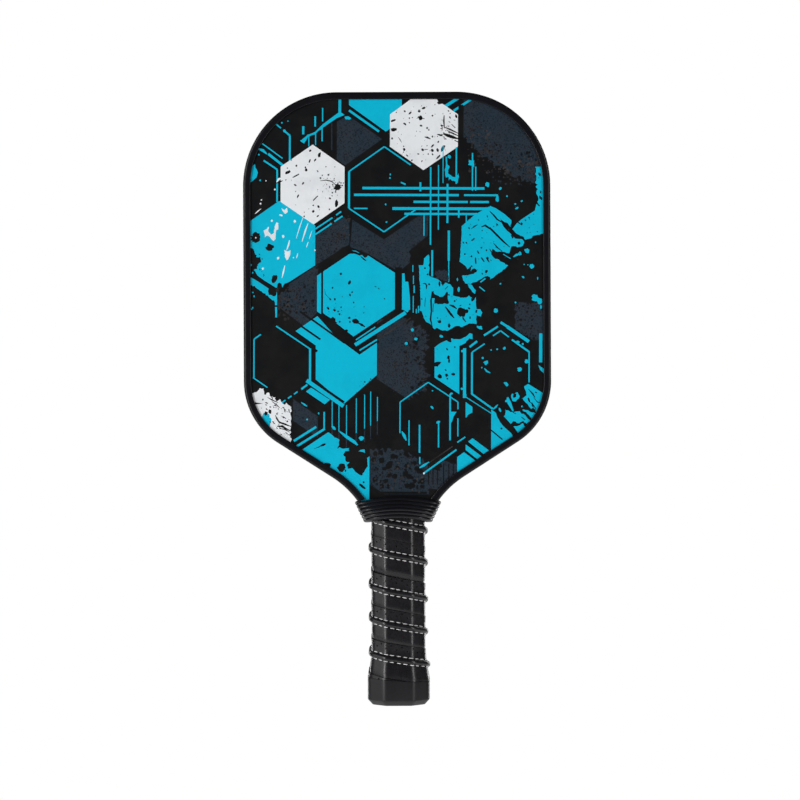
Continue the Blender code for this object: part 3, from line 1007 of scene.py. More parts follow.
    def upper_left(self) -> None:
        """The bent lines by the upper left edge."""
        self.line(Ink.CYAN, [(-82.5, 386.3), (-80.0, 384.0), (-77.6, 382.0)], 0.9)
        self.line(Ink.CYAN, [(-75.6, 380.4), (-71.7, 377.2), (-71.7, 360.0)], 1.2)
        self.blob(Ink.CYAN, -75.3, 380.3, 0.9, 1.3, 60.0)
        self.line(Ink.CYAN, [(-90.0, 371.8), (-76.5, 362.0)], 0.8)
        self.line(Ink.CYAN, [(-86.0, 365.0), (-75.8, 357.0)], 1.6)
        self.stroke(Ink.CYAN, [(-92.6, 368.4), (-89.5, 367.2), (-86.8, 364.8)], 1.7)
        self.line(Ink.CYAN, [(-89.0, 360.6), (-80.0, 354.6), (-80.0, 333.0)], 1.1)
        self.patch(
            Ink.CYAN,
            [(-97.5, 356.0), (-97.5, 346.0), (-93.8, 349.2), (-92.7, 352.5), (-94.8, 358.2)],
            (3,),
            0.5,
        )
        self.each(self.blob, Ink.CYAN, [
            (-77.0, 385.6, 0.6), (-73.0, 386.7, 0.45), (-92.2, 364.4, 0.6), (-91.3, 347.4, 0.6),
        ])
        self.each(self.blob, Ink.WHITE, [
            (-81.5, 341.4, 0.6), (-91.0, 332.0, 0.6), (-87.4, 347.1, 0.4), (-90.4, 334.4, 0.5),
        ])
        self.stroke(Ink.WHITE, [(-94.6, 325.2), (-92.6, 327.0), (-90.6, 328.6)], 0.7)

    def outlined_hexagon(self) -> None:
        """The thin outlined hexagon between the white ones."""
        self.each(self.line, Ink.CYAN, [
            ([(14.0, 329.8), (-9.0, 313.5), (-32.3, 329.0)], 0.9), ([(-32.3, 329.0), (-32.3, 353.5)], 1.4),
            ([(-32.3, 353.5), (-9.0, 370.0), (8.5, 358.0)], 0.9),
        ])

    def white_hexagons(self) -> None:
        """The two white hexagons and their black specks."""
        self.hexagon(Ink.WHITE, -56.5, 344.5, 21.2, 12.0)
        self.each(self.blob, Ink.BLACK, [
            (-73.0, 352.8, 1.0, 2.2, -60.0), (-67.5, 350.5, 0.45, 7.0, -62.0),
            (-68.0, 344.3, 0.55, 2.1, 55.0), (-62.8, 345.5, 0.6, 1.7, -40.0),
            (-66.2, 336.9, 0.55, 2.1, -25.0), (-67.3, 357.1, 0.6, 1.2), (-61.3, 356.0, 0.6, 1.2),
            (-60.8, 354.4, 0.9, 1.2), (-58.5, 360.3, 0.5, 2.6, -20.0), (-54.8, 361.0, 0.55, 2.1, -35.0),
            (-52.0, 364.3, 1.0, 1.8, -10.0), (-58.2, 367.1, 0.7, 1.2, -60.0), (-51.3, 349.0, 0.6, 1.1),
            (-46.0, 351.2, 0.6, 1.1, 60.0), (-53.2, 353.6, 0.35, 2.6, 40.0), (-45.0, 335.6, 0.6, 1.3, 60.0),
            (-54.5, 335.7, 0.4, 6.5, -45.0), (-40.6, 332.2, 1.1, 2.1), (-52.5, 330.1, 0.7, 1.4, 40.0),
            (-56.0, 330.9, 0.5, 1.1), (-56.0, 326.9, 0.8, 1.2, -40.0), (-53.0, 323.8, 0.5, 2.0, -50.0),
            (-45.3, 328.3, 0.5, 1.2), (-62.0, 323.6, 0.5, 1.2),
        ])
        self.flecks(Ink.BLACK, -56.5, 345.0, (18.0, 21.0), 24, (0.15, 0.4), 1.5, -40.0)
        self.splat(Ink.BLACK, -39.9, 343.0, 2.6, 12)
        self.stroke(Ink.BLACK, [(-51.5, 347.2), (-47.5, 347.7), (-44.0, 346.9), (-41.5, 345.0)], 0.6)
        self.flecks(Ink.SLATE, -45.0, 343.0, (6.0, 6.0), 16, (0.15, 0.35), 1.4)
        self.stroke(Ink.WHITE, [(-80.4, 346.2), (-79.0, 348.2), (-77.0, 349.2)], 1.3)
        self.stroke(Ink.BLACK, [(-80.5, 345.6), (-78.5, 346.3), (-76.3, 347.3)], 0.9)
        top = [(-5.3, 391.4), (-5.3, 370.0), (17.0, 354.5), (39.8, 370.2), (39.8, 391.6), (29.5, 398.6)]
        self.patch(Ink.WHITE, [*top, (27.4, 398.4), (25.8, 401.6), (8.5, 401.6)])
        self.each(self.blob, Ink.BLACK, [
            (-3.2, 387.3, 0.7, 2.6, -70.0), (-2.8, 381.4, 1.2, 1.8, -80.0), (-3.8, 375.5, 0.6, 1.2),
            (4.5, 393.5, 0.6, 1.3, 50.0), (8.0, 392.3, 0.6, 2.2, -45.0), (7.6, 389.0, 0.5, 1.1),
            (7.6, 386.0, 0.45, 1.1), (4.4, 385.2, 0.6, 1.8, 60.0), (14.0, 393.6, 0.8, 1.1, 70.0),
            (17.0, 395.7, 0.8, 1.6, -70.0), (14.8, 389.2, 1.5, 1.2, 20.0), (22.9, 390.7, 0.6),
            (15.3, 384.0, 0.7, 1.3, 80.0), (19.3, 382.4, 0.6, 1.3), (20.5, 381.3, 0.5, 1.2),
            (34.5, 389.5, 0.5, 1.7, 30.0), (38.6, 390.4, 0.7, 2.0, 20.0), (33.5, 393.8, 0.4, 1.6, 60.0),
            (26.8, 399.0, 0.6, 1.8, 40.0), (22.9, 376.8, 0.5, 1.4), (26.8, 373.3, 0.55, 1.5, -30.0),
            (22.9, 370.6, 0.6, 2.5, -45.0), (29.9, 369.1, 1.0, 2.3, -25.0), (26.4, 367.8, 0.8, 1.7, 15.0),
            (22.8, 367.6, 0.9, 1.4, 30.0), (23.0, 365.0, 0.5, 1.4, 30.0), (16.4, 368.0, 0.8, 1.4, 50.0),
            (26.9, 363.3, 0.6, 3.2, -45.0), (13.5, 365.2, 0.5, 1.4, 80.0), (20.2, 365.2, 0.45, 1.1),
            (4.2, 368.2, 0.9, 1.1), (3.8, 370.3, 0.4, 1.3, 70.0), (6.1, 364.2, 0.45, 2.0, 45.0),
            (9.3, 361.0, 0.5, 1.3, -60.0), (16.0, 360.5, 0.35, 2.2, -20.0),
        ])
        self.each(self.stroke, Ink.BLACK, [
            ([(30.0, 378.8), (33.0, 377.6), (36.5, 376.4), (40.0, 375.4)], 1.7),
            ([(30.6, 383.2), (34.5, 381.6), (40.0, 379.0)], 0.9),
            ([(32.6, 380.9), (36.5, 378.9), (40.0, 377.4)], 0.9),
            ([(30.6, 391.0), (30.4, 387.0), (30.8, 382.6)], 0.9),
            ([(28.4, 385.4), (29.4, 382.6), (29.2, 380.6)], 0.5),
            ([(26.0, 378.4), (28.0, 377.8), (29.6, 377.2)], 1.0),
            ([(17.6, 376.6), (19.6, 376.2), (21.6, 375.2)], 1.0), ([(35.6, 385.0), (38.0, 382.6)], 0.5),
            ([(40.0, 373.2), (37.6, 374.4)], 0.6), ([(17.6, 368.2), (19.8, 368.3)], 0.4),
            ([(15.6, 388.8), (17.6, 388.7)], 0.5), ([(0.2, 376.4), (1.6, 374.4), (2.4, 372.8)], 0.4),
        ])
        self.flecks(Ink.BLACK, 17.5, 379.0, (20.0, 21.0), 46, (0.15, 0.35), 1.7, -35.0)
        self.flecks(Ink.BLACK, 33.5, 381.0, (5.0, 7.0), 26, (0.15, 0.4), 2.6, 70.0)

    def crossing_lines(self) -> None:
        """The level lines in the middle of the head and the upright ones that cross them."""
        self.each(self.level, Ink.CYAN, [
            (342.5, -23.5, 57.5, 1.7), (338.0, -29.0, 40.5, 1.6), (338.0, 44.0, 66.5, 1.3),
            (333.5, 10.5, 46.5, 1.5), (333.5, 48.0, 60.5, 1.5), (329.0, -3.5, 61.5, 1.9),
            (325.5, 4.5, 55.5, 1.5), (329.0, -29.0, -20.0, 0.9),
        ])
        self.blob(Ink.CYAN, 66.0, 335.7, 1.0, 2.4)
        self.each(self.upright, Ink.CYAN, [
            (21.8, 305.0, 356.5, 1.0), (23.0, 284.0, 301.5, 1.2), (27.0, 315.0, 358.0, 0.7),
            (15.0, 340.5, 346.5, 1.2), (49.5, 341.0, 366.0, 0.9), (51.7, 341.0, 357.0, 0.8),
            (38.8, 345.5, 369.8, 1.0), (33.0, 319.5, 345.5, 1.3), (34.0, 294.5, 314.5, 1.5),
            (34.0, 280.5, 294.5, 0.7), (40.5, 323.0, 330.0, 1.1), (45.5, 317.0, 325.5, 0.7),
            (17.5, 311.0, 325.0, 0.7), (30.0, 346.0, 371.0, 0.6),
        ])
        self.stroke(Ink.CYAN, [(2.0, 346.4), (5.2, 345.0)], 0.9)
        for x, z, lean in ((-5.0, 351.6, 0.0), (-5.2, 349.3, 0.0), (-8.0, 331.7, 0.0), (-7.4, 320.0, -60.0)):
            self.blob(Ink.CYAN, x, z, 0.5, 1.3, lean)
        drip = [(31.6, 363.6), (32.6, 363.4), (32.8, 359.0), (34.4, 356.6), (33.2, 352.6), (36.0, 350.4)]
        drip += [(38.2, 350.0), (40.4, 352.6), (40.0, 346.0), (36.0, 347.4), (34.4, 348.8), (33.8, 346.6)]
        self.patch(
            Ink.CYAN, [*drip, (33.6, 350.2), (31.8, 349.6), (31.0, 354.6), (31.9, 358.6)], range(2, 15), 0.3
        )
        self.blob(Ink.CYAN, 34.2, 363.4, 1.1)
        self.patch(
            Ink.CYAN,
            [(47.2, 361.4), (50.6, 361.4), (50.6, 356.4), (49.0, 357.6), (46.6, 358.2)],
            range(5),
            0.3,
        )

    def right_shoulder(self) -> None:
        """The torn cyan areas by the right edge, with their scratches and the drops round them."""
        body = [(42.5, 317.5), (51.0, 325.0), (57.0, 328.5), (60.5, 330.5), (66.0, 326.0), (69.0, 321.0)]
        body += [(72.0, 316.5), (75.0, 312.5), (78.0, 309.3), (82.5, 309.0), (84.0, 307.0), (83.0, 304.5)]
        body += [(79.5, 303.5), (75.5, 304.0), (74.0, 299.5), (70.0, 300.5), (66.0, 300.5), (63.0, 302.5)]
        body += [(62.0, 299.0), (64.0, 296.5), (67.0, 295.5), (70.0, 293.5), (73.5, 291.5), (71.0, 289.0)]
        body += [(66.0, 285.5), (63.0, 283.0), (61.5, 282.3), (60.0, 284.5), (57.0, 283.5), (53.0, 281.0)]
        body += [(48.5, 279.0), (45.0, 279.5), (43.5, 281.5), (42.8, 284.5), (50.5, 285.8), (52.8, 288.0)]
        body += [(51.0, 289.5), (48.5, 287.5), (49.0, 291.0), (46.5, 288.8), (44.5, 291.5), (41.0, 294.0)]
        self.patch(Ink.CYAN, [*body, (41.5, 299.0), (42.3, 310.0)], range(9, 44), 0.35)
        strip = [(61.0, 331.0), (65.0, 329.5), (71.0, 325.5), (75.5, 321.5), (75.0, 317.0), (72.0, 320.0)]
        self.patch(Ink.CYAN, [*strip, (69.0, 321.5), (66.0, 324.0), (62.0, 328.0)], range(3, 9), 0.4)
        wing = [(76.0, 315.5), (79.0, 319.5), (82.0, 322.0), (91.0, 328.0), (92.0, 332.5), (94.0, 330.5)]
        wing += [(104.0, 331.0), (104.0, 313.0), (95.0, 312.5), (91.0, 311.5), (88.5, 309.5), (85.0, 308.5)]
        self.patch(Ink.CYAN, [*wing, (82.5, 311.0), (79.0, 312.5)], (7, 8, 9, 10, 11, 12, 13), 0.5)
        self.patch(
            Ink.CYAN,
            [(46.0, 279.5), (49.0, 278.8), (52.0, 275.0), (51.5, 272.5), (49.5, 274.0)],
            range(5),
            0.3,
        )
        self.patch(
            Ink.CYAN,
            [(91.0, 357.0), (91.5, 344.0), (93.5, 330.0), (104.0, 330.0), (104.0, 357.0)],
            (0, 1),
            0.9,
        )
        self.flecks(Ink.BLACK, 94.5, 345.0, (2.5, 11.0), 14, (0.2, 0.6), 2.0)
        self.each(self.stroke, Ink.BLACK, [
            ([(55.5, 317.0), (58.0, 318.0), (62.0, 315.5), (66.0, 311.5), (70.0, 307.5), (74.5, 303.6)], 1.1),
            ([(49.0, 315.7), (51.0, 317.4), (53.0, 318.4)], 0.8),
            ([(61.0, 327.5), (64.0, 324.5), (66.0, 322.0), (70.0, 319.5)], 0.9),
            ([(68.5, 321.5), (71.0, 318.0), (73.5, 315.0), (77.0, 312.5), (81.0, 310.3)], 1.7),
            ([(63.5, 306.5), (66.0, 303.5), (69.5, 300.8)], 0.8),
            ([(61.0, 302.5), (63.5, 298.6), (66.5, 297.0)], 0.8), ([(49.0, 307.8), (51.0, 309.4)], 0.8),
            ([(78.0, 321.2), (82.5, 318.4)], 0.8), ([(76.5, 309.6), (75.5, 311.8)], 1.0),
        ])
        self.each(self.blob, Ink.BLACK, [
            (53.5, 300.2, 0.45, 3.0, 35.0), (51.8, 294.6, 0.5, 5.0, 6.0), (56.5, 295.3, 0.5, 4.2, 34.0),
            (59.8, 295.3, 0.5, 4.2, 34.0), (49.0, 297.5, 0.6), (44.6, 299.0, 0.6), (59.0, 287.5, 1.0),
            (55.6, 303.2, 0.6), (80.6, 306.2, 0.9, 1.2, 20.0), (66.0, 318.6, 0.5, 2.0, 40.0),
            (59.5, 324.0, 0.4, 2.0, 20.0),
        ])
        self.flecks(Ink.BLACK, 55.0, 303.0, (12.0, 20.0), 34, (0.18, 0.5), 1.8, 30.0)
        self.flecks(Ink.BLACK, 88.0, 319.0, (8.0, 8.0), 10, (0.2, 0.5), 1.5, 30.0)
        self.each(self.stroke, Ink.CYAN, [
            ([(55.0, 280.3), (58.3, 282.8)], 0.9), ([(54.3, 277.3), (58.0, 274.4)], 0.7),
            ([(76.8, 297.2), (79.0, 298.6), (81.5, 299.2)], 1.3), ([(70.0, 299.0), (75.0, 296.0)], 0.5),
        ])
        self.each(self.blob, Ink.CYAN, [
            (86.0, 301.3, 1.4, 1.2, 30.0), (81.3, 299.4, 1.1), (89.0, 291.0, 1.5),
            (83.3, 283.8, 0.6, 1.8, 50.0), (84.0, 292.2, 0.4), (86.5, 291.9, 0.4), (68.3, 279.3, 0.6),
            (91.5, 307.0, 0.5), (93.0, 283.0, 0.35, 3.2), (79.0, 329.5, 0.7, 1.9, -60.0),
            (78.0, 332.3, 0.6), (82.3, 334.2, 0.6, 1.3, -50.0), (72.5, 337.5, 0.6), (78.4, 267.0, 0.6),
            (54.8, 250.2, 1.0, 1.9, 68.0), (59.5, 345.0, 1.5), (68.0, 342.5, 1.0),
        ])
        self.flecks(Ink.GRIME, 80.0, 298.0, (12.0, 20.0), 9, (0.3, 0.6))

    def left_cyan(self) -> None:
        """The cyan hexagon cut off by the left edge, with white splashes."""
        body = [
            (-99.0, 319.5), (-99.0, 303.0), (-96.5, 302.5), (-94.8, 300.0), (-93.8, 296.5), (-90.8, 295.2),
        ]
        body += [
            (-91.8, 292.5), (-93.2, 290.0), (-95.3, 287.8), (-92.8, 284.2), (-88.0, 280.8), (-80.2, 276.0),
        ]
        body += [
            (-79.0, 279.0), (-77.0, 279.2), (-76.4, 276.2), (-75.0, 278.8), (-72.0, 280.0), (-54.6, 291.2),
        ]
        self.patch(Ink.CYAN, [*body, (-54.6, 317.5), (-78.6, 333.8)], range(1, 9), 0.7)
        under = [
            (-99.0, 284.0), (-92.6, 280.4), (-84.5, 275.0), (-79.8, 273.0), (-79.8, 256.5), (-80.9, 256.5),
        ]
        self.patch(
            Ink.CYAN,
            [*under, (-81.2, 266.5), (-85.0, 269.6), (-92.6, 275.4), (-99.0, 279.0)],
            (6, 7, 8),
            0.5,
        )
        self.upright(Ink.BLACK, -80.4, 263.4, 264.6, 1.6)
        self.each(self.blob, Ink.BLACK, [
            (-94.3, 309.5, 3.0, 1.1), (-85.0, 303.0, 2.3, 1.2, 80.0), (-81.7, 281.8, 2.0, 1.4, -20.0),
            (-78.2, 277.6, 1.4, 1.5, 10.0), (-73.6, 277.8, 1.0, 1.2, 40.0), (-83.0, 273.4, 2.5, 1.2, 70.0),
            (-91.2, 293.6, 0.6, 1.6, -20.0), (-75.6, 275.0, 1.4, 1.4), (-95.6, 298.0, 0.8, 1.4),
        ])
        self.blob(Ink.WHITE, -94.0, 309.3, 0.5)
        splash = [
            (-88.9, 314.2), (-87.0, 315.0), (-85.4, 316.8), (-85.6, 313.4), (-83.8, 311.4), (-82.0, 312.6),
        ]
        splash += [
            (-81.6, 316.8), (-80.4, 319.6), (-79.0, 319.2), (-79.2, 314.8), (-80.6, 314.0), (-80.9, 308.6),
        ]
        splash += [(-82.4, 307.2), (-84.6, 309.8), (-86.6, 310.8), (-88.0, 309.6), (-88.2, 312.0)]
        self.patch(Ink.WHITE, splash, range(17), 0.3)
        heart = [
            (-75.2, 301.4), (-73.4, 300.4), (-71.0, 301.2), (-71.2, 298.0), (-72.6, 295.0), (-73.6, 294.4),
        ]
        self.patch(Ink.WHITE, [*heart, (-74.8, 296.8)], range(7), 0.3)
        self.patch(
            Ink.WHITE,
            [
                (-77.2, 329.0), (-75.2, 327.8), (-73.4, 329.2), (-72.9, 326.4), (-74.6, 325.2),
                (-76.2, 326.8),
            ],
        )
        self.each(self.blob, Ink.WHITE, [
            (-77.4, 324.3, 0.6, 2.0, 70.0), (-83.4, 320.6, 0.7, 1.2), (-68.2, 320.3, 0.8, 1.2),
            (-75.9, 310.2, 0.8, 1.3), (-79.2, 295.8, 0.8, 1.3, -40.0), (-89.3, 288.8, 0.7, 1.3, -50.0),
            (-54.8, 301.2, 0.5), (-69.0, 296.2, 0.4),
        ])
        self.each(self.stroke, Ink.WHITE, [
            ([(-62.6, 323.4), (-65.0, 316.5), (-67.2, 309.0)], 0.5),
            ([(-59.4, 319.0), (-61.4, 313.5), (-63.4, 306.8)], 0.9),
            ([(-71.6, 307.8), (-72.4, 304.5), (-73.6, 301.0)], 0.9),
            ([(-74.7, 291.0), (-75.6, 287.0), (-76.6, 282.8)], 0.9),
            ([(-56.8, 314.0), (-57.9, 311.0), (-58.6, 308.5)], 0.35),
            ([(-59.2, 306.8), (-59.9, 304.8), (-60.4, 303.0)], 0.5),
            ([(-66.1, 299.2), (-66.6, 297.4), (-67.0, 295.8)], 0.45),
        ])
        self.flecks(Ink.BLACK, -92.0, 291.0, (4.0, 9.0), 16, (0.2, 0.6), 1.5, 30.0)
        self.flecks(Ink.CYAN, -95.0, 276.0, (3.0, 18.0), 9, (0.3, 0.7), 1.4)
        self.each(self.bar, Ink.CYAN, [
            ((-54.6, 315.2), (-43.2, 322.8), 1.0), ((-54.6, 311.6), (-43.8, 318.9), 1.1),
            ((-40.8, 324.5), (-37.5, 326.9), 1.0), ((-42.0, 320.2), (-36.6, 323.9), 1.0),
        ])

    def centre(self) -> None:
        """The cyan hexagon in the middle and the lines that run round it."""
        body = [
            (-49.3, 287.0), (-49.3, 259.6), (-29.0, 244.0), (-1.7, 262.3), (-1.7, 286.4), (-19.6, 297.8),
        ]
        body += [
            (-21.6, 296.2), (-23.6, 298.2), (-26.0, 298.0), (-29.0, 299.0), (-31.5, 298.9), (-34.0, 297.4),
        ]
        self.patch(Ink.CYAN, body, (5, 6, 7, 8, 9, 10), 0.35)
        self.stroke(Ink.BLACK, [(-24.6, 297.4), (-22.4, 295.4), (-20.8, 294.2)], 0.9)
        self.stroke(Ink.CYAN, [(-30.0, 301.0), (-27.6, 300.6), (-25.4, 299.4)], 0.5)
        self.patch(Ink.CYAN, [(-53.3, 284.2), (-53.3, 260.6), (-50.6, 258.8), (-50.6, 286.2)])
        self.each(self.blob, Ink.BLACK, [
            (-37.5, 285.6, 0.8, 1.1), (-31.7, 279.9, 0.9, 1.7, -25.0), (-43.0, 276.3, 0.6, 1.1),
            (-30.0, 273.4, 0.5, 1.4, -40.0), (-31.5, 271.5, 0.6, 1.6, 20.0), (-44.5, 268.7, 0.5, 1.9, 40.0),
            (-41.5, 268.7, 0.7, 1.2), (-29.0, 266.6, 0.5, 1.1), (-45.9, 262.7, 0.7, 1.8, 35.0),
            (-41.7, 261.4, 0.8, 1.4, 50.0), (-39.3, 260.6, 0.5, 1.3), (-37.3, 263.4, 0.5, 1.1),
            (-38.4, 258.8, 0.6, 1.2, 40.0), (-31.8, 256.4, 0.8, 1.1), (-31.4, 253.8, 0.6, 1.1),
            (-38.2, 253.8, 0.6, 1.1), (-27.5, 254.1, 1.8, 1.3, 80.0), (-14.6, 277.2, 0.3, 2.4, 60.0),
            (-12.4, 275.8, 0.3, 2.6, 60.0), (-8.5, 269.1, 0.4, 1.3, 50.0), (-36.6, 270.4, 0.3),
            (-42.4, 255.4, 1.3, 1.5, 60.0), (-33.6, 248.0, 0.8, 1.3, 60.0),
        ])
        self.each(self.stroke, Ink.BLACK, [
            ([(-26.0, 253.2), (-23.6, 251.8), (-21.4, 250.4)], 1.3),
            ([(-48.2, 258.4), (-44.5, 255.5), (-40.0, 253.0)], 1.1),
            ([(-48.4, 275.5), (-47.6, 271.8), (-45.0, 269.2)], 0.3),
        ])
        self.flecks(Ink.BLACK, -32.0, 262.0, (16.0, 12.0), 16, (0.15, 0.35), 1.4, -30.0)
        band = [(-1.5, 290.0), (-1.5, 261.0), (-25.5, 243.0), (-24.0, 240.0), (3.0, 259.0), (3.0, 290.0)]
        self.patch(Ink.BLACK, band)
        self.each(self.bar, Ink.CYAN, [
            ((-27.4, 241.8), (-14.6, 250.4), 0.8), ((-28.0, 238.4), (5.5, 260.0), 2.4),
            ((-25.0, 234.8), (-13.5, 242.0), 1.0),
        ])
        self.bar(Ink.GRIME, (-13.5, 242.0), (9.0, 256.5), 0.9)
        self.line(Ink.BLACK, [(-40.0, 243.5), (-25.5, 232.5), (-12.0, 241.0)], 1.6)
        self.line(Ink.CYAN, [(3.6, 262.0), (3.6, 286.0)], 1.1)

    def lattice(self) -> None:
        """The cyan hexagon under the middle one, its strips and its neighbour's outline."""
        body = [
            (-54.0, 238.0), (-54.0, 215.5), (-35.0, 199.5), (-13.5, 218.5), (-13.5, 240.0), (-25.0, 232.0),
        ]
        self.patch(Ink.CYAN, [*body, (-40.0, 243.0), (-53.0, 257.5), (-67.5, 247.5)], ())
        self.each(self.bar, Ink.BLACK, [
            ((-57.5, 255.8), (-35.0, 239.8), 1.3), ((-64.5, 251.3), (-51.0, 242.0), 1.3),
            ((-69.0, 245.0), (-53.0, 234.0), 1.6),
        ])
        self.patch(Ink.BLACK, [(-70.0, 247.0), (-70.0, 236.0), (-54.2, 226.0), (-54.2, 236.5)])
        self.bar(Ink.CYAN, (-60.0, 214.8), (-35.5, 197.8), 2.6)
        self.bar(Ink.BLACK, (-56.0, 215.0), (-35.0, 200.4), 1.2)
        self.patch(Ink.CYAN, [(-60.5, 207.5), (-57.0, 210.0), (-44.5, 202.0), (-48.0, 199.0)])
        self.flecks(Ink.BLACK, -22.0, 212.0, (6.0, 5.0), 12, (0.2, 0.6))
        self.each(self.line, Ink.CYAN, [
            ([(-95.0, 216.5), (-95.0, 242.0), (-90.5, 245.2)], 0.9),
            ([(-80.4, 250.8), (-58.0, 235.8)], 0.9), ([(-57.8, 236.0), (-57.8, 214.0)], 1.4),
            ([(-59.5, 212.0), (-63.5, 209.0)], 1.3),
        ])
        for i in range(4):
            x = -66.0 - 4.0 * i
            self.bar(Ink.CYAN, (x, 207.3 - 2.8 * i), (x - 2.4, 205.6 - 2.8 * i), 0.9)
        self.line(Ink.CYAN, [(-95.5, 216.5), (-86.0, 210.0)], 0.8)
        for x, low, high in (
            (-43.0, 175.0, 201.0),
            (-38.5, 172.0, 198.5),
            (-33.5, 169.5, 198.5),
            (-27.0, 171.0, 203.0),
            (-21.5, 174.0, 205.5),
            (-17.5, 176.0, 207.5),
            (-13.0, 179.0, 204.0),
        ):
            self.upright(Ink.CYAN, x, low + 9.0, high, 0.6)
            self.upright(Ink.SLATE, x, low, low + 9.0, 0.7)
        self.blob(Ink.CYAN, -23.5, 176.5, 1.6)

    def torn_middle(self) -> None:
        """The ragged cyan field right of the middle and the torn hexagon under it."""
        self.patch(
            Ink.SLATE,
            [(25.0, 288.0), (24.5, 283.0), (29.0, 281.5), (34.0, 281.0), (34.0, 289.0)],
            range(5),
            0.8,
        )
        strip = [
            (3.5, 286.0), (3.5, 262.0), (6.5, 260.0), (8.5, 262.0), (8.3, 270.0), (7.2, 280.5),
            (5.0, 280.5),
        ]
        self.patch(Ink.CYAN, [*strip, (4.7, 286.0)], (0, 1, 2), 0.3)
        self.each(self.upright, Ink.CYAN, [
            (10.2, 287.0, 291.5, 0.6), (10.6, 279.0, 284.5, 0.6), (11.1, 273.0, 278.0, 0.8),
            (10.5, 260.0, 271.0, 0.6), (12.6, 259.5, 262.5, 0.7), (14.0, 260.0, 264.5, 0.7),
        ])
        body = [(14.2, 291.5), (17.0, 291.5), (17.5, 296.0), (20.5, 298.5), (21.2, 297.0), (21.0, 284.5)]
        body += [(27.0, 282.0), (29.0, 280.5), (30.0, 277.5), (32.0, 280.0), (35.0, 279.0), (37.0, 276.5)]
        body += [(36.8, 271.5), (41.0, 270.5), (45.5, 270.0), (47.5, 271.5), (49.5, 270.0), (50.5, 268.0)]
        body += [(52.0, 270.5), (52.5, 262.5), (55.0, 262.5), (56.3, 260.5), (55.5, 257.5), (52.5, 258.5)]
        body += [(52.5, 252.5), (48.0, 253.0), (43.0, 250.5), (39.0, 251.2), (36.0, 249.5), (33.0, 248.0)]
        body += [(29.0, 248.5), (26.0, 250.0), (24.5, 249.0), (22.0, 252.5), (19.0, 254.0), (17.5, 256.5)]
        body += [(16.5, 260.0), (14.5, 262.0), (15.5, 266.0), (15.0, 275.0), (14.5, 283.0)]
        self.patch(Ink.CYAN, body, range(41), 0.3)
        hole = [(22.5, 274.0), (24.0, 274.5), (24.5, 272.5), (28.0, 270.5), (31.0, 271.5), (32.8, 274.0)]
        hole += [(33.5, 273.0), (34.0, 266.0), (30.0, 265.7), (27.0, 265.5), (24.5, 266.0), (24.8, 269.5)]
        self.patch(Ink.BLACK, [*hole, (23.0, 269.5)], range(13), 0.4)
        self.each(self.stroke, Ink.BLACK, [
            ([(23.0, 274.0), (22.3, 268.0), (22.6, 261.0), (22.0, 255.5), (23.4, 250.0)], 0.9),
            ([(23.8, 266.0), (23.6, 260.5)], 0.5), ([(18.6, 270.0), (18.2, 264.0)], 0.4),
            ([(16.9, 279.4), (18.5, 279.3), (19.4, 278.0), (19.2, 275.6)], 0.8),
            ([(31.8, 264.0), (34.0, 261.0), (36.0, 258.4), (37.8, 256.4)], 1.2),
            ([(34.6, 265.2), (37.0, 264.4), (39.4, 262.6)], 1.4),
            ([(43.0, 259.0), (43.8, 256.0), (45.5, 253.8)], 0.9), ([(31.5, 275.5), (33.5, 277.5)], 0.5),
        ])
        self.each(self.blob, Ink.BLACK, [
            (42.6, 260.3, 2.8, 1.1, 20.0), (45.8, 261.0, 1.3), (27.9, 254.0, 1.2), (34.4, 251.5, 0.9, 1.6),
            (27.9, 279.0, 0.7, 2.4), (21.0, 278.8, 0.6, 1.3, 40.0), (20.0, 285.3, 0.6),
            (18.2, 289.5, 0.6, 1.2), (38.0, 267.8, 0.6, 1.2), (48.0, 265.6, 0.5),
            (47.6, 263.0, 0.6, 1.8, 60.0), (49.6, 268.6, 0.8, 1.2), (41.8, 264.8, 0.4, 1.8, -60.0),
            (48.2, 256.8, 0.5, 2.0), (26.6, 256.5, 0.5), (52.4, 261.0, 0.7, 1.6),
        ])
        self.flecks(Ink.BLACK, 34.0, 262.0, (18.0, 14.0), 22, (0.18, 0.45), 1.5, 30.0)
        self.blob(Ink.CYAN, 40.6, 275.5, 0.9, 2.0)
        self.blob(Ink.CYAN, 39.8, 282.0, 0.4, 3.0)
        lower = [(24.8, 237.0), (24.8, 227.0), (29.2, 227.3), (27.5, 225.3), (24.8, 224.3), (24.8, 217.0)]
        lower += [(41.2, 206.0), (41.2, 238.0), (44.5, 239.5), (47.0, 242.0), (50.0, 242.5), (49.8, 246.0)]
        lower += [(48.0, 246.5), (46.0, 244.5), (43.0, 243.0), (40.0, 242.5), (37.5, 242.5), (35.5, 244.5)]
        self.patch(
            Ink.CYAN,
            [*lower, (36.0, 240.5), (32.5, 241.7), (28.0, 239.5)],
            (1, 2, 3, 8, 9, 13, 14, 16, 18),
            0.5,
        )
        self.each(self.blob, Ink.BLACK, [
            (34.0, 230.3, 1.1, 1.1), (34.4, 228.0, 0.7, 1.9), (28.2, 217.9, 1.5), (32.8, 218.5, 1.1),
            (37.2, 219.2, 0.9, 1.5, 80.0), (32.2, 222.0, 0.5, 1.5, 40.0), (33.3, 216.3, 0.5, 1.6, 40.0),
            (33.1, 235.8, 0.5, 2.0, 40.0), (38.2, 237.2, 0.5, 1.2), (26.5, 235.8, 0.3),
        ])
        self.blob(Ink.CYAN, 29.2, 244.4, 0.9, 1.4, 70.0)
        self.upright(Ink.CYAN, 44.7, 203.5, 236.5, 2.1)
        self.blob(Ink.CYAN, 43.2, 234.6, 0.9)
        self.blob(Ink.CYAN, 43.0, 209.6, 0.8)

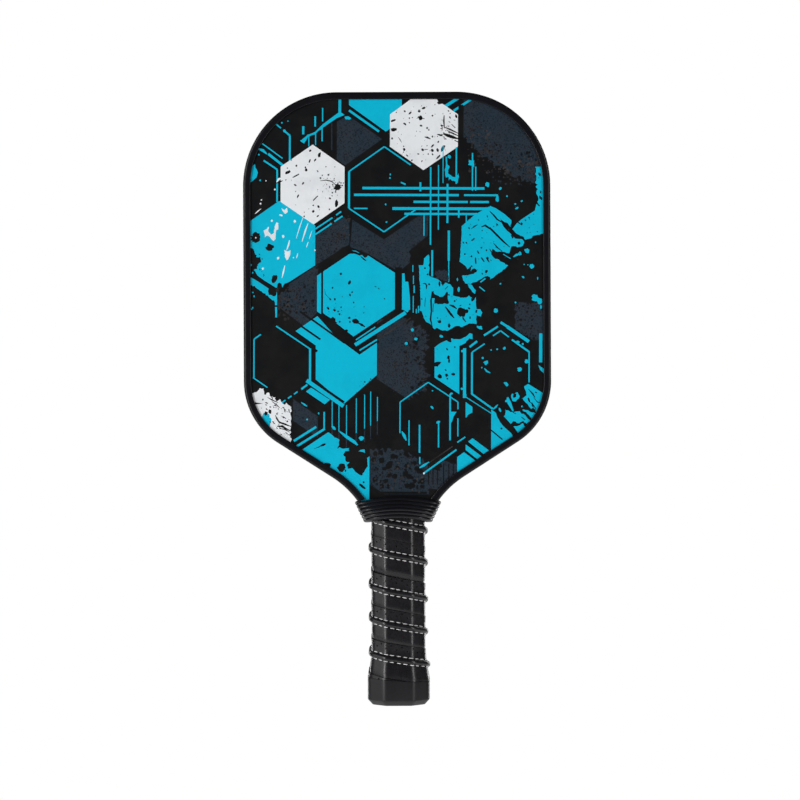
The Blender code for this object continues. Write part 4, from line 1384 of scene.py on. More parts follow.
    def lower_left(self) -> None:
        """The torn white shape, its cyan patch and the cyan hexagon under the slope."""
        shape = [
            (-99.0, 207.0), (-95.5, 206.2), (-92.8, 207.2), (-91.2, 209.6), (-88.6, 209.4), (-88.2, 205.4),
        ]
        shape += [
            (-84.8, 206.6), (-84.2, 204.4), (-80.6, 203.6), (-80.2, 200.8), (-77.4, 202.2), (-75.8, 199.4),
        ]
        shape += [(-73.4, 200.0), (-70.2, 197.0), (-70.2, 170.0), (-99.0, 170.0)]
        self.patch(Ink.WHITE, shape, range(14), 0.5)
        self.patch(
            Ink.BLACK, [(-99.0, 201.6), (-94.4, 200.2), (-89.0, 199.4), (-94.0, 198.8), (-99.0, 199.0)]
        )
        self.patch(
            Ink.CYAN,
            [(-88.6, 193.2), (-90.0, 189.0), (-84.4, 183.6), (-83.2, 188.8), (-84.6, 192.2)],
            (3, 4),
            0.4,
        )
        self.each(self.stroke, Ink.BLACK, [
            ([(-80.2, 189.6), (-78.0, 187.0), (-74.0, 185.6), (-70.4, 184.2)], 1.0),
            ([(-79.6, 184.4), (-76.0, 184.2), (-70.6, 181.2)], 1.2),
            ([(-78.0, 182.8), (-74.6, 182.4), (-71.0, 180.4)], 0.7),
            ([(-80.8, 191.8), (-79.6, 189.4), (-77.4, 186.4)], 0.8),
            ([(-74.8, 196.0), (-74.2, 193.6)], 0.6), ([(-71.8, 195.8), (-71.4, 193.4)], 0.6),
            ([(-83.0, 200.8), (-80.0, 198.6), (-77.8, 196.6)], 0.6),
            ([(-86.0, 203.6), (-83.0, 201.8), (-79.0, 200.0)], 0.7),
            ([(-75.8, 191.0), (-73.6, 189.4)], 0.5), ([(-82.8, 187.6), (-81.0, 186.0)], 0.5),
            ([(-74.0, 180.2), (-71.0, 178.2)], 0.4),
            ([(-84.6, 205.0), (-82.8, 203.4), (-82.4, 201.8)], 0.6),
        ])
        self.each(self.blob, Ink.BLACK, [
            (-87.0, 192.8, 1.2, 1.1), (-84.2, 194.0, 1.0, 1.7, 10.0), (-89.0, 202.0, 0.5, 1.2),
            (-79.6, 192.6, 0.5, 1.4), (-72.8, 187.6, 0.6),
        ])
        self.flecks(Ink.BLACK, -77.0, 188.0, (8.0, 10.0), 46, (0.15, 0.45), 2.2, 60.0)
        self.flecks(Ink.BLACK, -85.0, 200.0, (8.0, 5.0), 14, (0.2, 0.5), 2.0, 60.0)
        self.line(Ink.CYAN, [(-53.6, 184.0), (-68.4, 174.6)], 1.5)
        self.line(Ink.CYAN, [(-47.8, 182.8), (-70.0, 168.8)], 1.5)
        self.upright(Ink.CYAN, -48.3, 182.5, 194.0, 1.0)
        body = [
            (-45.6, 180.5), (-70.0, 164.0), (-70.0, 130.0), (-18.2, 130.0), (-18.2, 164.6), (-19.8, 163.4),
        ]
        body += [
            (-19.2, 158.2), (-21.2, 155.2), (-23.6, 151.8), (-26.6, 153.6), (-29.6, 156.8), (-32.4, 156.2),
        ]
        body += [
            (-33.2, 158.8), (-31.4, 160.6), (-34.0, 161.4), (-34.2, 164.2), (-35.6, 165.6), (-34.2, 168.0),
        ]
        body += [
            (-31.6, 168.4), (-31.8, 170.0), (-35.8, 169.6), (-38.2, 170.6), (-39.6, 169.4), (-38.4, 172.2),
        ]
        self.patch(Ink.CYAN, [*body, (-38.0, 175.4)], range(5, 25), 0.3)
        self.each(self.blob, Ink.BLACK, [
            (-36.7, 157.0, 2.7, 1.05), (-46.2, 158.6, 1.8, 1.2, 60.0), (-49.0, 172.0, 0.8, 2.6, -68.0),
            (-22.8, 144.6, 0.9, 3.0, 52.0), (-22.0, 147.4, 0.6, 1.2), (-34.0, 155.0, 0.5, 1.6),
        ])
        self.stroke(Ink.BLACK, [(-55.0, 169.4), (-52.0, 170.6), (-48.0, 172.4)], 0.5)
        self.patch(
            Ink.CYAN, [(-25.4, 168.0), (-22.4, 167.4), (-21.2, 166.8), (-21.4, 169.2), (-23.6, 169.0)]
        )
        self.each(self.stroke, Ink.CYAN, [
            ([(-43.2, 184.6), (-41.8, 183.2), (-40.8, 182.2)], 1.8),
            ([(-63.6, 200.2), (-61.4, 198.8), (-59.6, 197.6)], 1.0),
            ([(-38.0, 181.0), (-33.0, 177.2), (-28.4, 174.2), (-26.0, 172.0)], 1.7),
        ])
        self.blob(Ink.CYAN, -59.6, 188.9, 0.6)
        self.blob(Ink.CYAN, -52.0, 192.9, 0.5, 1.4)

    def lower_right(self) -> None:
        """The outlined hexagon by the right edge and the torn areas under it."""
        self.each(self.line, Ink.CYAN, [
            ([(49.6, 206.0), (49.6, 233.8)], 1.3), ([(49.6, 233.8), (58.0, 239.5)], 0.9),
            ([(63.5, 244.8), (68.5, 248.2), (74.0, 244.0)], 0.9), ([(76.0, 242.3), (87.4, 234.3)], 1.2),
            ([(87.5, 234.5), (87.5, 214.0)], 0.9), ([(49.6, 206.2), (63.5, 196.3)], 1.2),
            ([(45.8, 204.0), (62.5, 193.4)], 0.6), ([(57.5, 245.0), (66.7, 251.0)], 1.3),
            ([(68.5, 253.8), (73.5, 250.6)], 1.6), ([(73.0, 250.8), (87.3, 241.0)], 2.2),
            ([(48.0, 237.3), (53.0, 241.2)], 1.4),
        ])
        self.each(self.blob, Ink.CYAN, [
            (59.0, 227.0, 1.5), (81.3, 222.5, 1.5), (71.0, 236.6, 1.0), (85.8, 228.0, 1.3),
            (72.4, 212.8, 1.0, 1.7, 40.0), (56.7, 230.1, 0.8), (66.3, 235.9, 0.6), (62.3, 235.4, 0.5),
            (56.1, 223.7, 0.5), (83.2, 239.4, 0.7), (80.0, 240.8, 0.8, 1.6, 80.0), (91.2, 270.0, 2.2),
            (94.2, 268.0, 2.0), (95.2, 264.0, 0.6, 2.4), (65.3, 261.6, 1.5), (82.8, 198.0, 0.6),
            (68.3, 195.6, 0.7, 2.2, 24.0),
        ])
        self.stroke(Ink.CYAN, [(57.9, 223.2), (59.3, 221.4), (61.8, 220.2)], 1.0)
        self.upright(Ink.CYAN, 95.2, 227.3, 246.5, 2.2)
        self.patch(Ink.CYAN, [(93.5, 225.6), (99.5, 221.5), (99.0, 218.5), (94.8, 222.3)])
        edge = [(84.3, 211.3), (87.0, 213.0), (99.0, 205.5), (97.0, 199.0), (92.0, 193.8), (89.8, 199.5)]
        self.patch(Ink.CYAN, [*edge, (88.0, 203.0), (82.8, 203.0), (86.0, 205.5)], (4, 5, 6, 7, 8), 0.6)
        self.patch(
            Ink.CYAN,
            [(82.5, 204.0), (86.5, 203.5), (90.5, 197.0), (89.0, 196.2), (86.0, 200.0)],
            range(5),
            0.4,
        )
        self.patch(
            Ink.CYAN,
            [(83.0, 195.8), (86.5, 195.6), (93.0, 192.8), (90.0, 189.5), (86.5, 193.0)],
            range(5),
            0.4,
        )
        mass = [(70.8, 191.5), (72.0, 194.0), (71.5, 196.0), (76.5, 194.5), (81.5, 194.8), (84.5, 192.6)]
        mass += [(88.5, 188.8), (86.0, 186.5), (84.0, 188.4), (82.0, 187.6), (79.5, 187.0), (77.0, 188.3)]
        self.patch(Ink.CYAN, [*mass, (75.4, 186.4), (73.5, 188.6)], range(14), 0.6)
        self.patch(
            Ink.CYAN,
            [(77.3, 184.8), (80.5, 185.2), (83.5, 187.0), (85.5, 184.6), (80.2, 180.6)],
            range(3),
            0.5,
        )
        self.blob(Ink.CYAN, 78.0, 204.4, 2.5, 1.15, -20.0)
        self.blob(Ink.BLACK, 78.0, 205.2, 1.2, 1.3, -30.0)
        self.stroke(Ink.CYAN, [(73.2, 204.0), (74.4, 200.5), (77.0, 195.0)], 2.2)
        self.blob(Ink.CYAN, 72.6, 201.6, 0.9)
        self.each(self.stroke, Ink.BLACK, [
            ([(87.0, 209.6), (90.0, 206.4), (91.5, 203.8)], 0.9),
            ([(90.5, 204.0), (93.0, 201.0), (96.0, 200.2)], 0.6), ([(89.2, 200.5), (92.0, 196.6)], 0.8),
            ([(91.5, 207.6), (92.8, 207.0)], 0.8), ([(76.5, 194.4), (79.0, 193.0)], 0.5),
            ([(82.5, 191.0), (85.0, 189.0)], 0.6),
        ])
        solid = [(62.5, 196.0), (62.5, 160.0), (78.0, 176.0), (75.8, 180.2), (70.0, 185.4), (67.0, 190.0)]
        self.patch(Ink.CYAN, [*solid, (65.5, 193.8)], (4, 5), 0.5)
        self.stroke(Ink.CYAN, [(63.5, 196.0), (65.5, 197.5), (66.8, 199.2)], 1.1)
        self.bar(Ink.BLACK, (62.0, 182.6), (70.0, 176.0), 0.9)
        self.blob(Ink.BLACK, 69.3, 183.3, 0.7)
        for corners in (
            [(47.2, 174.6), (50.2, 176.8), (61.0, 168.8), (57.5, 166.4)],
            [(45.6, 172.7), (45.6, 169.0), (53.3, 163.0), (56.0, 165.0)],
            [(40.0, 164.3), (44.5, 167.6), (52.0, 162.0), (40.0, 154.0)],
        ):
            self.patch(Ink.CYAN, corners)
        self.line(Ink.CYAN, [(40.0, 174.0), (45.3, 177.6)], 0.9)

    def throat(self) -> None:
        """The thin outlined hexagon over the throat and the short lines round it."""
        self.line(Ink.CYAN, [(2.0, 180.0), (2.0, 200.6), (20.6, 213.8), (40.4, 200.8), (40.4, 196.0)], 0.8)
        self.upright(Ink.CYAN, 40.4, 178.0, 190.0, 0.8)
        self.stroke(Ink.CYAN, [(3.2, 181.2), (4.8, 178.4), (6.2, 175.2)], 1.8)
        self.bar(Ink.GRIME, (21.0, 160.2), (37.0, 171.4), 0.7)
        self.bar(Ink.CYAN, (17.8, 153.4), (39.5, 169.2), 1.1)
        self.blob(Ink.WHITE, 18.0, 153.4, 0.6)
        self.stroke(Ink.CYAN, [(15.0, 157.0), (18.0, 158.8), (21.4, 161.0)], 1.3)
        self.each(self.upright, Ink.CYAN, [
            (8.0, 172.0, 188.5, 0.8), (15.0, 167.0, 185.6, 1.1), (15.2, 159.6, 164.2, 0.9),
            (27.6, 170.6, 187.5, 0.9), (35.2, 175.4, 206.0, 1.1), (45.6, 203.5, 206.0, 0.8),
        ])
        self.each(self.blob, Ink.CYAN, [
            (27.4, 187.4, 0.9, 1.6, -60.0), (36.0, 206.3, 0.8, 1.4, -70.0), (23.2, 197.2, 0.7, 1.9, 45.0),
            (23.5, 208.2, 0.5),
        ])
        self.patch(
            Ink.CYAN,
            [(35.5, 194.4), (39.6, 194.3), (37.6, 191.4), (36.6, 188.0), (35.4, 186.2)],
            (1, 2),
            0.3,
        )
        self.patch(Ink.CYAN, [(45.5, 200.8), (45.5, 190.4), (50.0, 193.8), (50.0, 197.6)], (1,), 0.4)


@dataclass
class Section:
    """Eight-sided section of the handle with rounded corners, measured round from the left side."""

    half_width: float = 15.8
    half_depth: float = 12.2
    flat: float = 8.0
    side: float = 6.0
    rounding: float = 3.8
    marks: list[tuple[Vector, float, float]] = field(init=False)

    def __post_init__(self) -> None:
        """Works out the corners' middles and where each arc starts, from the left side across the front."""
        quarter = [(-self.half_width, -self.side), (-self.flat, -self.half_depth)]
        front = quarter + [(-x, y) for x, y in reversed(quarter)]
        corners = [Vector(point) for point in front + [(-x, -y) for x, y in front]]
        slant = math.atan2(self.half_depth - self.side, self.half_width - self.flat)
        turns = [math.pi / 2 - slant, slant]
        self.marks = []
        facing = math.pi
        for i, corner in enumerate(corners):
            turn = turns[(i + i // 2) % 2]
            reach = self.rounding / math.cos(turn / 2)
            middle = facing + turn / 2
            centre = corner - reach * Vector((math.cos(middle), math.sin(middle)))
            self.marks.append((centre, facing, turn))
            facing += turn

    def place(self, share: float, grow: float) -> Vector:
        """A point on the section.

        Args:
            share: How far round, from 0 to 1.
            grow: How far outside the section it lies.

        Returns:
            The point, in plan.
        """
        radius = self.rounding + grow
        spans = []
        for i, (centre, _, turn) in enumerate(self.marks):
            following = self.marks[(i + 1) % len(self.marks)][0]
            spans += [radius * turn, (following - centre).length]
        lead = spans[-1] / 2
        rest = (share % 1.0) * sum(spans) - lead
        if rest < 0:
            centre, facing, _ = self.marks[0]
            direction = Vector((math.cos(facing), math.sin(facing)))
            return centre + radius * direction + Vector((0.0, -rest))
        for i, span in enumerate(spans):
            if rest > span and i < len(spans) - 1:
                rest -= span
                continue
            centre, facing, turn = self.marks[i // 2]
            if i % 2 == 0:
                angle = facing + turn * rest / span
                return centre + radius * Vector((math.cos(angle), math.sin(angle)))
            angle = facing + turn
            along = Vector((-math.sin(angle), math.cos(angle)))
            return centre + radius * Vector((math.cos(angle), math.sin(angle))) + rest * along
        raise ValueError("a section without spans")


@dataclass
class Winding:
    """The path of the grip strip down the handle, as the heights of its rib at the left and at the right."""

    section: Section
    lefts: tuple[float, ...] = (150.4, 124.8, 104.0, 79.7, 57.8, 34.8, 12.4, -10.6)
    rights: tuple[float, ...] = (139.0, 114.9, 93.9, 69.4, 47.9, 26.4, 2.6)
    swell_top: float = 36.0
    swell_span: float = 18.5
    swell_size: float = 2.7
    swell_power: float = 1.3

    def swell(self, z: float) -> float:
        """How far the grip stands out over the straight handle near the butt."""
        return self.swell_size * max(0.0, (self.swell_top - z) / self.swell_span) ** self.swell_power

    def point(self, turns: float, height: float, out: float) -> Vector:
        """A point on the wound strip.

        Args:
            turns: Turns down from the top of the path.
            height: Height over the rib's middle.
            out: Distance out from the bare handle.

        Returns:
            The point.
        """
        whole = min(int(turns), len(self.rights) - 1)
        share = turns - whole
        left, right, following = self.lefts[whole], self.rights[whole], self.lefts[whole + 1]
        if share < 0.5:
            middle = left + (right - left) * 2 * share
        else:
            middle = right + (following - right) * (2 * share - 1)
        z = middle + height
        plan = self.section.place(share, out + self.swell(max(z, 15.0)))
        return Vector((plan.x, plan.y, z))


@dataclass
class Grip:
    """The wound leather strip with its raised rib, rows of holes and two seams."""

    winding: Winding
    leather: LeatherFinish
    thread: ThreadFinish
    steps: int = 90
    turns: int = 7
    low: float = -14.2
    high: float = 10.0
    surface: float = 2.0
    lap: float = 0.35
    rib_half: float = 1.85
    rib_height: float = 2.1
    hole_rows: tuple[float, ...] = (3.75, 6.35, 8.6)
    hole_every: int = 6
    hole_half: float = 0.6
    stitches: int = 26
    stitch_height: float = 2.25
    stitch_size: tuple[float, float, float] = (1.6, 0.34, 0.32)
    top: float = 126.5
    bottom: float = 17.0
    bottom_slope: float = 0.0634

    def profile(self) -> list[Point]:
        """Rows of the strip as (height, distance out), from its lower edge up."""
        heights = [self.low, self.low + 0.5, -11.5, -10.0, -8.5, -7.0, -5.5, -4.2, -3.1, -2.4, -2.0]
        heights += [self.rib_half * math.sin(math.pi / 2 * i / 5) for i in range(-5, 6)]
        heights += [2.0, 2.5]
        for row in self.hole_rows:
            heights += [row - self.hole_half, row + self.hole_half]
        heights += [self.high - 0.55, self.high - 0.2, self.high]
        return [(height, self.out(height)) for height in heights]

    def out(self, height: float) -> float:
        """How far out the strip's skin lies at a height over the rib's middle."""
        if abs(height) < self.rib_half:
            across = height / self.rib_half
            return self.surface - 0.1 + self.rib_height * math.sqrt(1 - across * across) ** 0.8
        if abs(height) < 2.45:
            return self.surface - 0.12
        if height < -10.5:
            return self.surface - 0.9 * (-10.5 - height) / (-10.5 - self.low)
        if height > self.high - 0.1:
            return self.surface - 0.5
        lift = max(0.0, height - 4.0) / (self.high - 4.0)
        return self.surface + self.lap * lift

    def strip(self) -> bmesh.types.BMesh:
        """Makes the strip flat, its length along X in steps, its height along Y and outwards along Z.

        Returns:
            The closed strip, its holes pushed in.
        """
        rows = self.profile()
        columns = self.steps * self.turns
        bm = bmesh.new()
        bmesh.ops.create_grid(bm, x_segments=columns, y_segments=len(rows) - 1, size=1.0)
        for vert in bm.verts:
            row = round((vert.co.y + 1) / 2 * (len(rows) - 1))
            vert.co.x = (vert.co.x + 1) / 2 * columns
            vert.co.y, vert.co.z = rows[row]
        skin = bm.faces[:]
        moved = bmesh.ops.extrude_face_region(bm, geom=skin, use_keep_orig=True)["geom"]
        for vert in [part for part in moved if isinstance(part, bmesh.types.BMVert)]:
            vert.co.z = min(0.6, vert.co.z - 0.5)
        cells = []
        for face in skin:
            middle = face.calc_center_median()
            for number, row in enumerate(self.hole_rows):
                shift = self.hole_every // 2 * (number % 2)
                if abs(middle.y - row) < 0.01 and (int(middle.x) + shift) % self.hole_every == 0:
                    cells.append(face)
        bmesh.ops.inset_individual(bm, faces=cells, thickness=0.1, depth=0.0)
        middles = {self.spot(face) for face in cells}
        corners = list({vert for face in cells for vert in face.verts})
        bmesh.ops.bevel(bm, geom=corners, offset=0.3, segments=1, affect="VERTICES")
        pits = [face for face in bm.faces if len(face.verts) == 8 and self.spot(face) in middles]
        for sunk in (0.15, 0.75):
            bmesh.ops.inset_individual(bm, faces=pits, thickness=0.05, depth=0.0)
            for vert in {vert for face in pits for vert in face.verts}:
                vert.co.z -= sunk
        LOG.info("grip holes: %d", len(pits))
        return bm

    @staticmethod
    def spot(face: bmesh.types.BMFace) -> tuple[float, float]:
        """Rounded middle of a face of the flat strip."""
        middle = face.calc_center_median()
        return (round(middle.x, 1), round(middle.y, 1))

    def build(self) -> None:
        """Winds the strip round the handle, trims its ends and sews both seams."""
        bm = self.strip()
        for vert in bm.verts:
            turns, height, out = vert.co.x / self.steps, vert.co.y, vert.co.z
            vert.co = self.winding.point(turns, height, out)
        for z, normal in (
            (self.top, (0.0, 0.0, 1.0)),
            (self.bottom, (-self.bottom_slope, 0.0, -1.0)),
        ):
            parts = bm.verts[:] + bm.edges[:] + bm.faces[:]
            bmesh.ops.bisect_plane(bm, geom=parts, plane_co=(0.0, 0.0, z), plane_no=normal, clear_outer=True)
            rim = [edge for edge in bm.edges if edge.is_boundary]
            filled = bmesh.ops.holes_fill(bm, edges=rim, sides=0)["faces"]
            bmesh.ops.triangulate(bm, faces=filled)
        nodes = ["grip_wrap", "grip_rib_cord"]
        Model.add("grip_strip", bm, self.leather.build(), nodes, "grip_leather", 60)
        thread = self.thread.build()
        for name, side in (("upper", 1.0), ("lower", -1.0)):
            seam = self.seam(side)
            Model.add("grip_seam_" + name, seam, thread, ["grip_stitch_" + name], "seam_thread", 180, False)

    def seam(self, side: float) -> bmesh.types.BMesh:
        """Sews one row of stitches beside the rib.

        Args:
            side: 1 for the row over the rib and -1 for the row under it.

        Returns:
            The stitches.
        """
        bm = bmesh.new()
        chance = random.Random(31 + int(side))
        height = side * self.stitch_height
        out = self.surface + 0.12
        long, thick, wide = self.stitch_size
        for number in range(self.stitches * self.turns):
            turns = (number + 0.5 + chance.uniform(-0.05, 0.05)) / self.stitches
            here = self.winding.point(turns, height, out)
            if not self.bottom + 1.0 < here.z < self.top - 3.0:
                continue
            ahead = self.winding.point(turns + 0.004, height, out)
            outer = self.winding.point(turns, height, out + 1.0)
            along = (ahead - here).normalized()
            away = (outer - here).normalized()
            up = along.cross(away).normalized()
            away = up.cross(along)
            size = chance.uniform(0.9, 1.08)
            basis = Matrix((along * long * size, away * thick, up * wide)).transposed().to_4x4()
            place = Matrix.Translation(here) @ basis
            bmesh.ops.create_uvsphere(bm, u_segments=10, v_segments=7, radius=1.0, matrix=place)
        bmesh.ops.recalc_face_normals(bm, faces=bm.faces)
        return bm


@dataclass
class ButtCap:
    """The eight-sided cup at the end of the handle."""

    finish: MouldingFinish
    section: Section
    top: float = 16.75
    slope: float = 0.0634
    chamfer: float = 3.3
    chamfer_height: float = 3.6
    floor: float = 5.0
    wall: float = 1.8

    def build(self) -> None:
        """Extrudes the section up, rounds its bottom and hollows it."""
        bm = bmesh.new()
        count = 144
        ring = [self.section.place(i / count, 0.0) for i in range(count)]
        rim = [bm.verts.new((point.x, point.y, 0.0)) for point in ring]
        base = bm.faces.new(rim)
        made = bmesh.ops.extrude_face_region(bm, geom=[base], use_keep_orig=True)["geom"]
        for vert in [part for part in made if isinstance(part, bmesh.types.BMVert)]:
            vert.co.z = self.top - self.slope * vert.co.x
        lid = next(part for part in made if isinstance(part, bmesh.types.BMFace))
        parts = bm.verts[:] + bm.edges[:] + bm.faces[:]
        level = (0.0, 0.0, self.chamfer_height)
        bmesh.ops.bisect_plane(bm, geom=parts, plane_co=level, plane_no=(0.0, 0.0, 1.0))
        for i, vert in enumerate(rim):
            inner = self.section.place(i / count, -self.chamfer)
            vert.co.x, vert.co.y = inner.x, inner.y
        bmesh.ops.inset_region(bm, faces=[lid], thickness=self.wall, use_even_offset=True)
        well = bmesh.ops.extrude_face_region(bm, geom=[lid])["geom"]
        for vert in [part for part in well if isinstance(part, bmesh.types.BMVert)]:
            vert.co.z = self.floor
        corner = [edge for edge in bm.edges if all(abs(v.co.z - level[2]) < 0.001 for v in edge.verts)]
        corner += base.edges[:]
        bmesh.ops.bevel(
            bm,
            geom=corner,
            offset=0.5,
            segments=3,
            profile=0.5,
            affect="EDGES",
            material=-1,
        )
        Model.add("butt_cap_cup", bm, self.finish.build(), ["butt_cap"], "cap_plastic", 35)


@dataclass
class Collar:
    """The ridged rubber ring between the panel's throat and the grip."""

    finish: MouldingFinish
    bottom: float = 120.7
    top: float = 134.3
    rise: float = 3.7
    inside_bottom: Point = (19.5, 15.8)
    inside_top: Point = (25.9, 8.8)
    straight: float = 0.45
    wall: float = 3.1
    ridges: int = 6
    ridge_depth: float = 0.85
    powers: Point = (2.8, 6.0)
    hub: float = 10.0

    def outer_profile(self) -> list[Point]:
        """The ridges as (wall, level from 0 to 1), from the bottom up."""
        points = [(0.0, 0.0)]
        valley = self.wall - self.ridge_depth
        for ridge in range(self.ridges):
            for i in range(9):
                share = i / 8
                bulge = math.sin(math.pi * share) ** 0.55 if 0 < i < 8 else 0.0
                points.append((valley + self.ridge_depth * bulge, (ridge + share) / self.ridges))
        points.append((0.0, 1.0))
        return points

    def shaped(self, place: Vector) -> Vector:
        """Moves a point of the plain turned ring to the real, squarer ring that arches up.

        Args:
            place: The point on the turned ring.

        Returns:
            The point on the collar.
        """
        angle = math.atan2(place.y, place.x)
        wall = math.hypot(place.x, place.y) - self.hub
        level = place.z
        power = self.powers[0] + (self.powers[1] - self.powers[0]) * level
        share_x = math.copysign(abs(math.cos(angle)) ** (2 / power), math.cos(angle))
        share_y = math.copysign(abs(math.sin(angle)) ** (2 / power), math.sin(angle))
        shrink = max(0.0, (level - self.straight) / (1 - self.straight))
        reach_x = self.inside_bottom[0] + (self.inside_top[0] - self.inside_bottom[0]) * level + wall
        reach_y = self.inside_bottom[1] + (self.inside_top[1] - self.inside_bottom[1]) * shrink + wall
        arch = self.rise * (1.0 - share_x * share_x)
        z = self.bottom + (self.top - self.bottom) * level + arch
        return Vector((share_x * reach_x, share_y * reach_y, z))

    def build(self) -> None:
        """Turns the ridged profile round Z and shapes it."""
        bm = bmesh.new()
        levels = [1.0 - i / 8 for i in range(1, 8)]
        ring = self.outer_profile() + [(0.0, level) for level in levels]
        verts = [bm.verts.new((self.hub + wall, 0.0, level)) for wall, level in ring]
        edges = [bm.edges.new((verts[i - 1], verts[i])) for i in range(len(verts))]
        axis = (0.0, 0.0, 1.0)
        full = 2 * math.pi
        bmesh.ops.spin(
            bm, geom=verts + edges, cent=(0, 0, 0), axis=axis, angle=full, steps=128, use_merge=True
        )
        for vert in bm.verts:
            vert.co = self.shaped(vert.co)
        Model.add("collar_ring", bm, self.finish.build(), ["grip_collar"], "collar_rubber", 50)


@dataclass
class FacePrint:
    """Both printed skins, one piece for each ink and side."""

    art: Artwork
    front: float = -7.0
    thickness: float = 0.7

    def build(self) -> None:
        """Extrudes each ink's area back from the front face and repeats it, turned, on the back."""
        for ink, flat in self.art.regions().items():
            if not flat.faces:
                flat.free()
                continue
            bmesh.ops.translate(flat, verts=flat.verts, vec=(0.0, self.front, 0.0))
            grown = bmesh.ops.extrude_face_region(flat, geom=flat.faces[:], use_keep_orig=True)["geom"]
            moved = [part for part in grown if isinstance(part, bmesh.types.BMVert)]
            bmesh.ops.translate(flat, verts=moved, vec=(0.0, self.thickness, 0.0))
            bmesh.ops.recalc_face_normals(flat, faces=flat.faces)
            material = INKS[ink].build()
            back = flat.copy()
            turn = Matrix.Rotation(math.pi, 3, "Z")
            bmesh.ops.rotate(back, verts=back.verts, matrix=turn)
            for side, bm in (("front", flat), ("back", back)):
                node = side + "_face_sheet"
                name = side + "_print_" + ink.value
                Model.add(name, bm, material, [node], "face_composite", 30, False)


@dataclass(frozen=True)
class Lamp:
    """A rectangular softbox."""

    name: str
    place: tuple[float, float, float]
    aim: tuple[float, float, float]
    size: Point
    power: float

    def build(self) -> None:
        """Adds the light."""
        light = bpy.data.lights.new(self.name, "AREA")
        light.shape = "RECTANGLE"
        light.size, light.size_y = self.size
        light.energy = self.power
        lamp = bpy.data.objects.new(self.name, light)
        lamp.location = self.place
        direction = Vector(self.aim) - Vector(self.place)
        lamp.rotation_euler = direction.to_track_quat("-Z", "Y").to_euler()
        bpy.context.scene.collection.objects.link(lamp)


@dataclass
class Studio:
    """White ground, softboxes and the camera."""

    lamps: tuple[Lamp, ...]
    distance: float = 1.35
    shown: float = 0.5306
    aim: tuple[float, float] = (0.0016, 0.202)
    roll: float = math.radians(0.24)
    floor_z: float = -0.3
    floor_radius: float = 1.05
    ambient: float = 0.1
    sensor: float = 36.0
    face_y: float = -0.007

    def build(self) -> None:
        """Sets up the world, the floor, the lights and the camera."""
        scene = bpy.context.scene
        scene.view_settings.view_transform = "Standard"
        self.world(scene)
        self.floor()
        for lamp in self.lamps:
            lamp.build()
        lens = bpy.data.cameras.new("camera")
        lens.sensor_width = self.sensor
        lens.lens = self.sensor * self.distance / self.shown
        camera = bpy.data.objects.new("camera", lens)
        camera.location = (self.aim[0], self.face_y - self.distance, self.aim[1])
        camera.rotation_euler = (math.pi / 2, self.roll, 0.0)
        scene.collection.objects.link(camera)
        scene.camera = camera

    def world(self, scene: bpy.types.Scene) -> None:
        """White where the camera sees it, and dimmer as a light."""
        world = bpy.data.worlds.new("studio")
        world.use_nodes = True
        tree = world.node_tree
        background = tree.nodes["Background"]
        background.inputs["Color"].default_value = (1.0, 1.0, 1.0, 1.0)
        path = tree.nodes.new("ShaderNodeLightPath")
        strength = tree.nodes.new("ShaderNodeMapRange")
        strength.inputs["To Min"].default_value = self.ambient
        strength.inputs["To Max"].default_value = 1.0
        tree.links.new(path.outputs["Is Camera Ray"], strength.inputs["Value"])
        tree.links.new(strength.outputs["Result"], background.inputs["Strength"])
        scene.world = world

    def floor(self) -> None:
        """A round pale floor well below the butt."""
        bm = bmesh.new()
        bmesh.ops.create_circle(bm, cap_ends=True, segments=96, radius=self.floor_radius)
        bmesh.ops.translate(bm, verts=bm.verts, vec=(0.0, 0.0, self.floor_z))
        mesh = bpy.data.meshes.new("floor")
        bm.to_mesh(mesh)
        bm.free()
        graph = Graph("floor_white")
        graph.surface(Base_Color=(0.9, 0.9, 0.9, 1.0), Roughness=0.9, Specular_IOR_Level=0.0)
        graph.surface(Emission_Color=(1.0, 1.0, 1.0, 1.0), Emission_Strength=0.4)
        mesh.materials.append(graph.material)
        floor = bpy.data.objects.new("floor", mesh)
        bpy.context.scene.collection.objects.link(floor)


HIDDEN = (
    (("honeycomb_core",), MouldingFinish("core_polymer", tint(226, 228, 222), 0.6, 0.02)),
    (("front_bond_film", "back_bond_film"), MouldingFinish("bond_film", tint(190, 182, 156), 0.5, 0.01)),
    (
        ("handle_pallet_front", "handle_pallet_back"),
        MouldingFinish("pallet_foam", tint(130, 130, 124), 0.75, 0.12, 1400, 0.3),
    ),
    (("grip_finishing_tape",), MouldingFinish("tape_vinyl", tint(22, 21, 23), 0.3, 0.01, 900)),
)

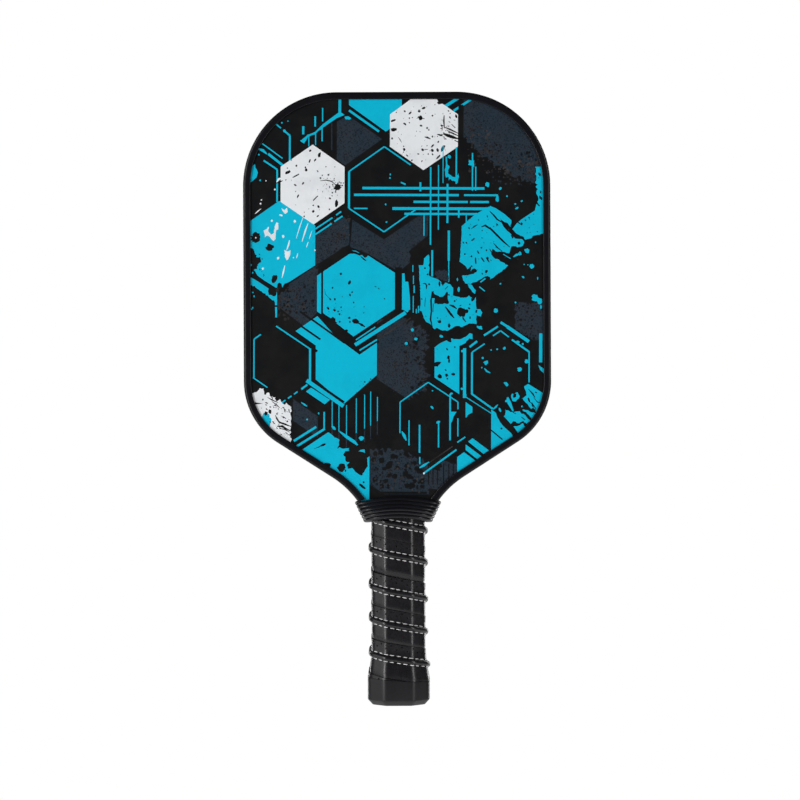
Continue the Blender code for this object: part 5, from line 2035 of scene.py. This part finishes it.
STUDIO = Studio(
    (
        Lamp("side", (-1.5, -0.5, 0.4), (0.0, 0.0, 0.2), (0.6, 1.6), 4.3),
        Lamp("left", (-1.1, -1.1, 0.35), (0.0, 0.0, 0.2), (0.3, 1.6), 14.6),
        Lamp("right", (1.1, -1.0, 0.3), (0.0, 0.0, 0.2), (0.22, 1.6), 8.9),
        Lamp("rear left", (1.0, 1.2, 0.4), (0.0, 0.0, 0.2), (0.3, 1.6), 13.0),
        Lamp("rear right", (-1.0, 1.2, 0.3), (0.0, 0.0, 0.2), (0.22, 1.6), 8.0),
    )
)


PRINT_INSET = 1.9
PRINT_FOOT = [(20.0, 130.0), (-20.0, 130.0)]
PRINT_SEED = 7
GUARD_HALF_DEPTH = 8.4
GUARD_PLASTIC = MouldingFinish("guard_plastic", tint(13, 13, 18), 0.3, 0.006, 900, specular=0.26)
CAP_PLASTIC = MouldingFinish("cap_plastic", tint(19, 18, 21), 0.38, 0.015, 1500)
CAP_SECTION = Section(half_width=20.55, half_depth=16.95, flat=9.66, side=8.3, rounding=5.6)
COLLAR_RUBBER = MouldingFinish("collar_rubber", tint(17, 16, 21), 0.3, 0.01, 700)
GRIP_LEATHER = LeatherFinish("grip_leather", tint(15, 13, 17), tint(26, 24, 28))
SEAM_THREAD = ThreadFinish("seam_thread", tint(236, 234, 236), tint(190, 186, 188))


def main() -> None:
    """Builds and dresses the paddle in order, then its studio."""
    head = Head(half_width=102.0, top=406.4)
    side = head.side(PRINT_INSET)
    outline = side + PRINT_FOOT + [(-x, z) for x, z in reversed(side)]
    art = PaddlePrint(outline, PRINT_SEED)
    art.draw()
    FacePrint(art).build()
    EdgeGuard(head, GUARD_PLASTIC, GUARD_HALF_DEPTH).build()
    ButtCap(CAP_PLASTIC, CAP_SECTION).build()
    Grip(Winding(Section()), GRIP_LEATHER, SEAM_THREAD).build()
    Collar(COLLAR_RUBBER).build()
    for nodes, finish in HIDDEN:
        material = finish.build()
        for node in nodes:
            Model.dress(node, material)
    steel = Graph("staple_steel")
    steel.surface(Base_Color=tint(170, 170, 172), Metallic=1.0, Roughness=steel.noise(300, 2) * 0.1 + 0.3)
    for node in ("butt_cap_staple_front", "butt_cap_staple_back"):
        Model.dress(node, steel.material)
    STUDIO.build()
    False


if __name__ == "__main__":
    logging.basicConfig(level=logging.INFO, format="%(message)s")
    main()
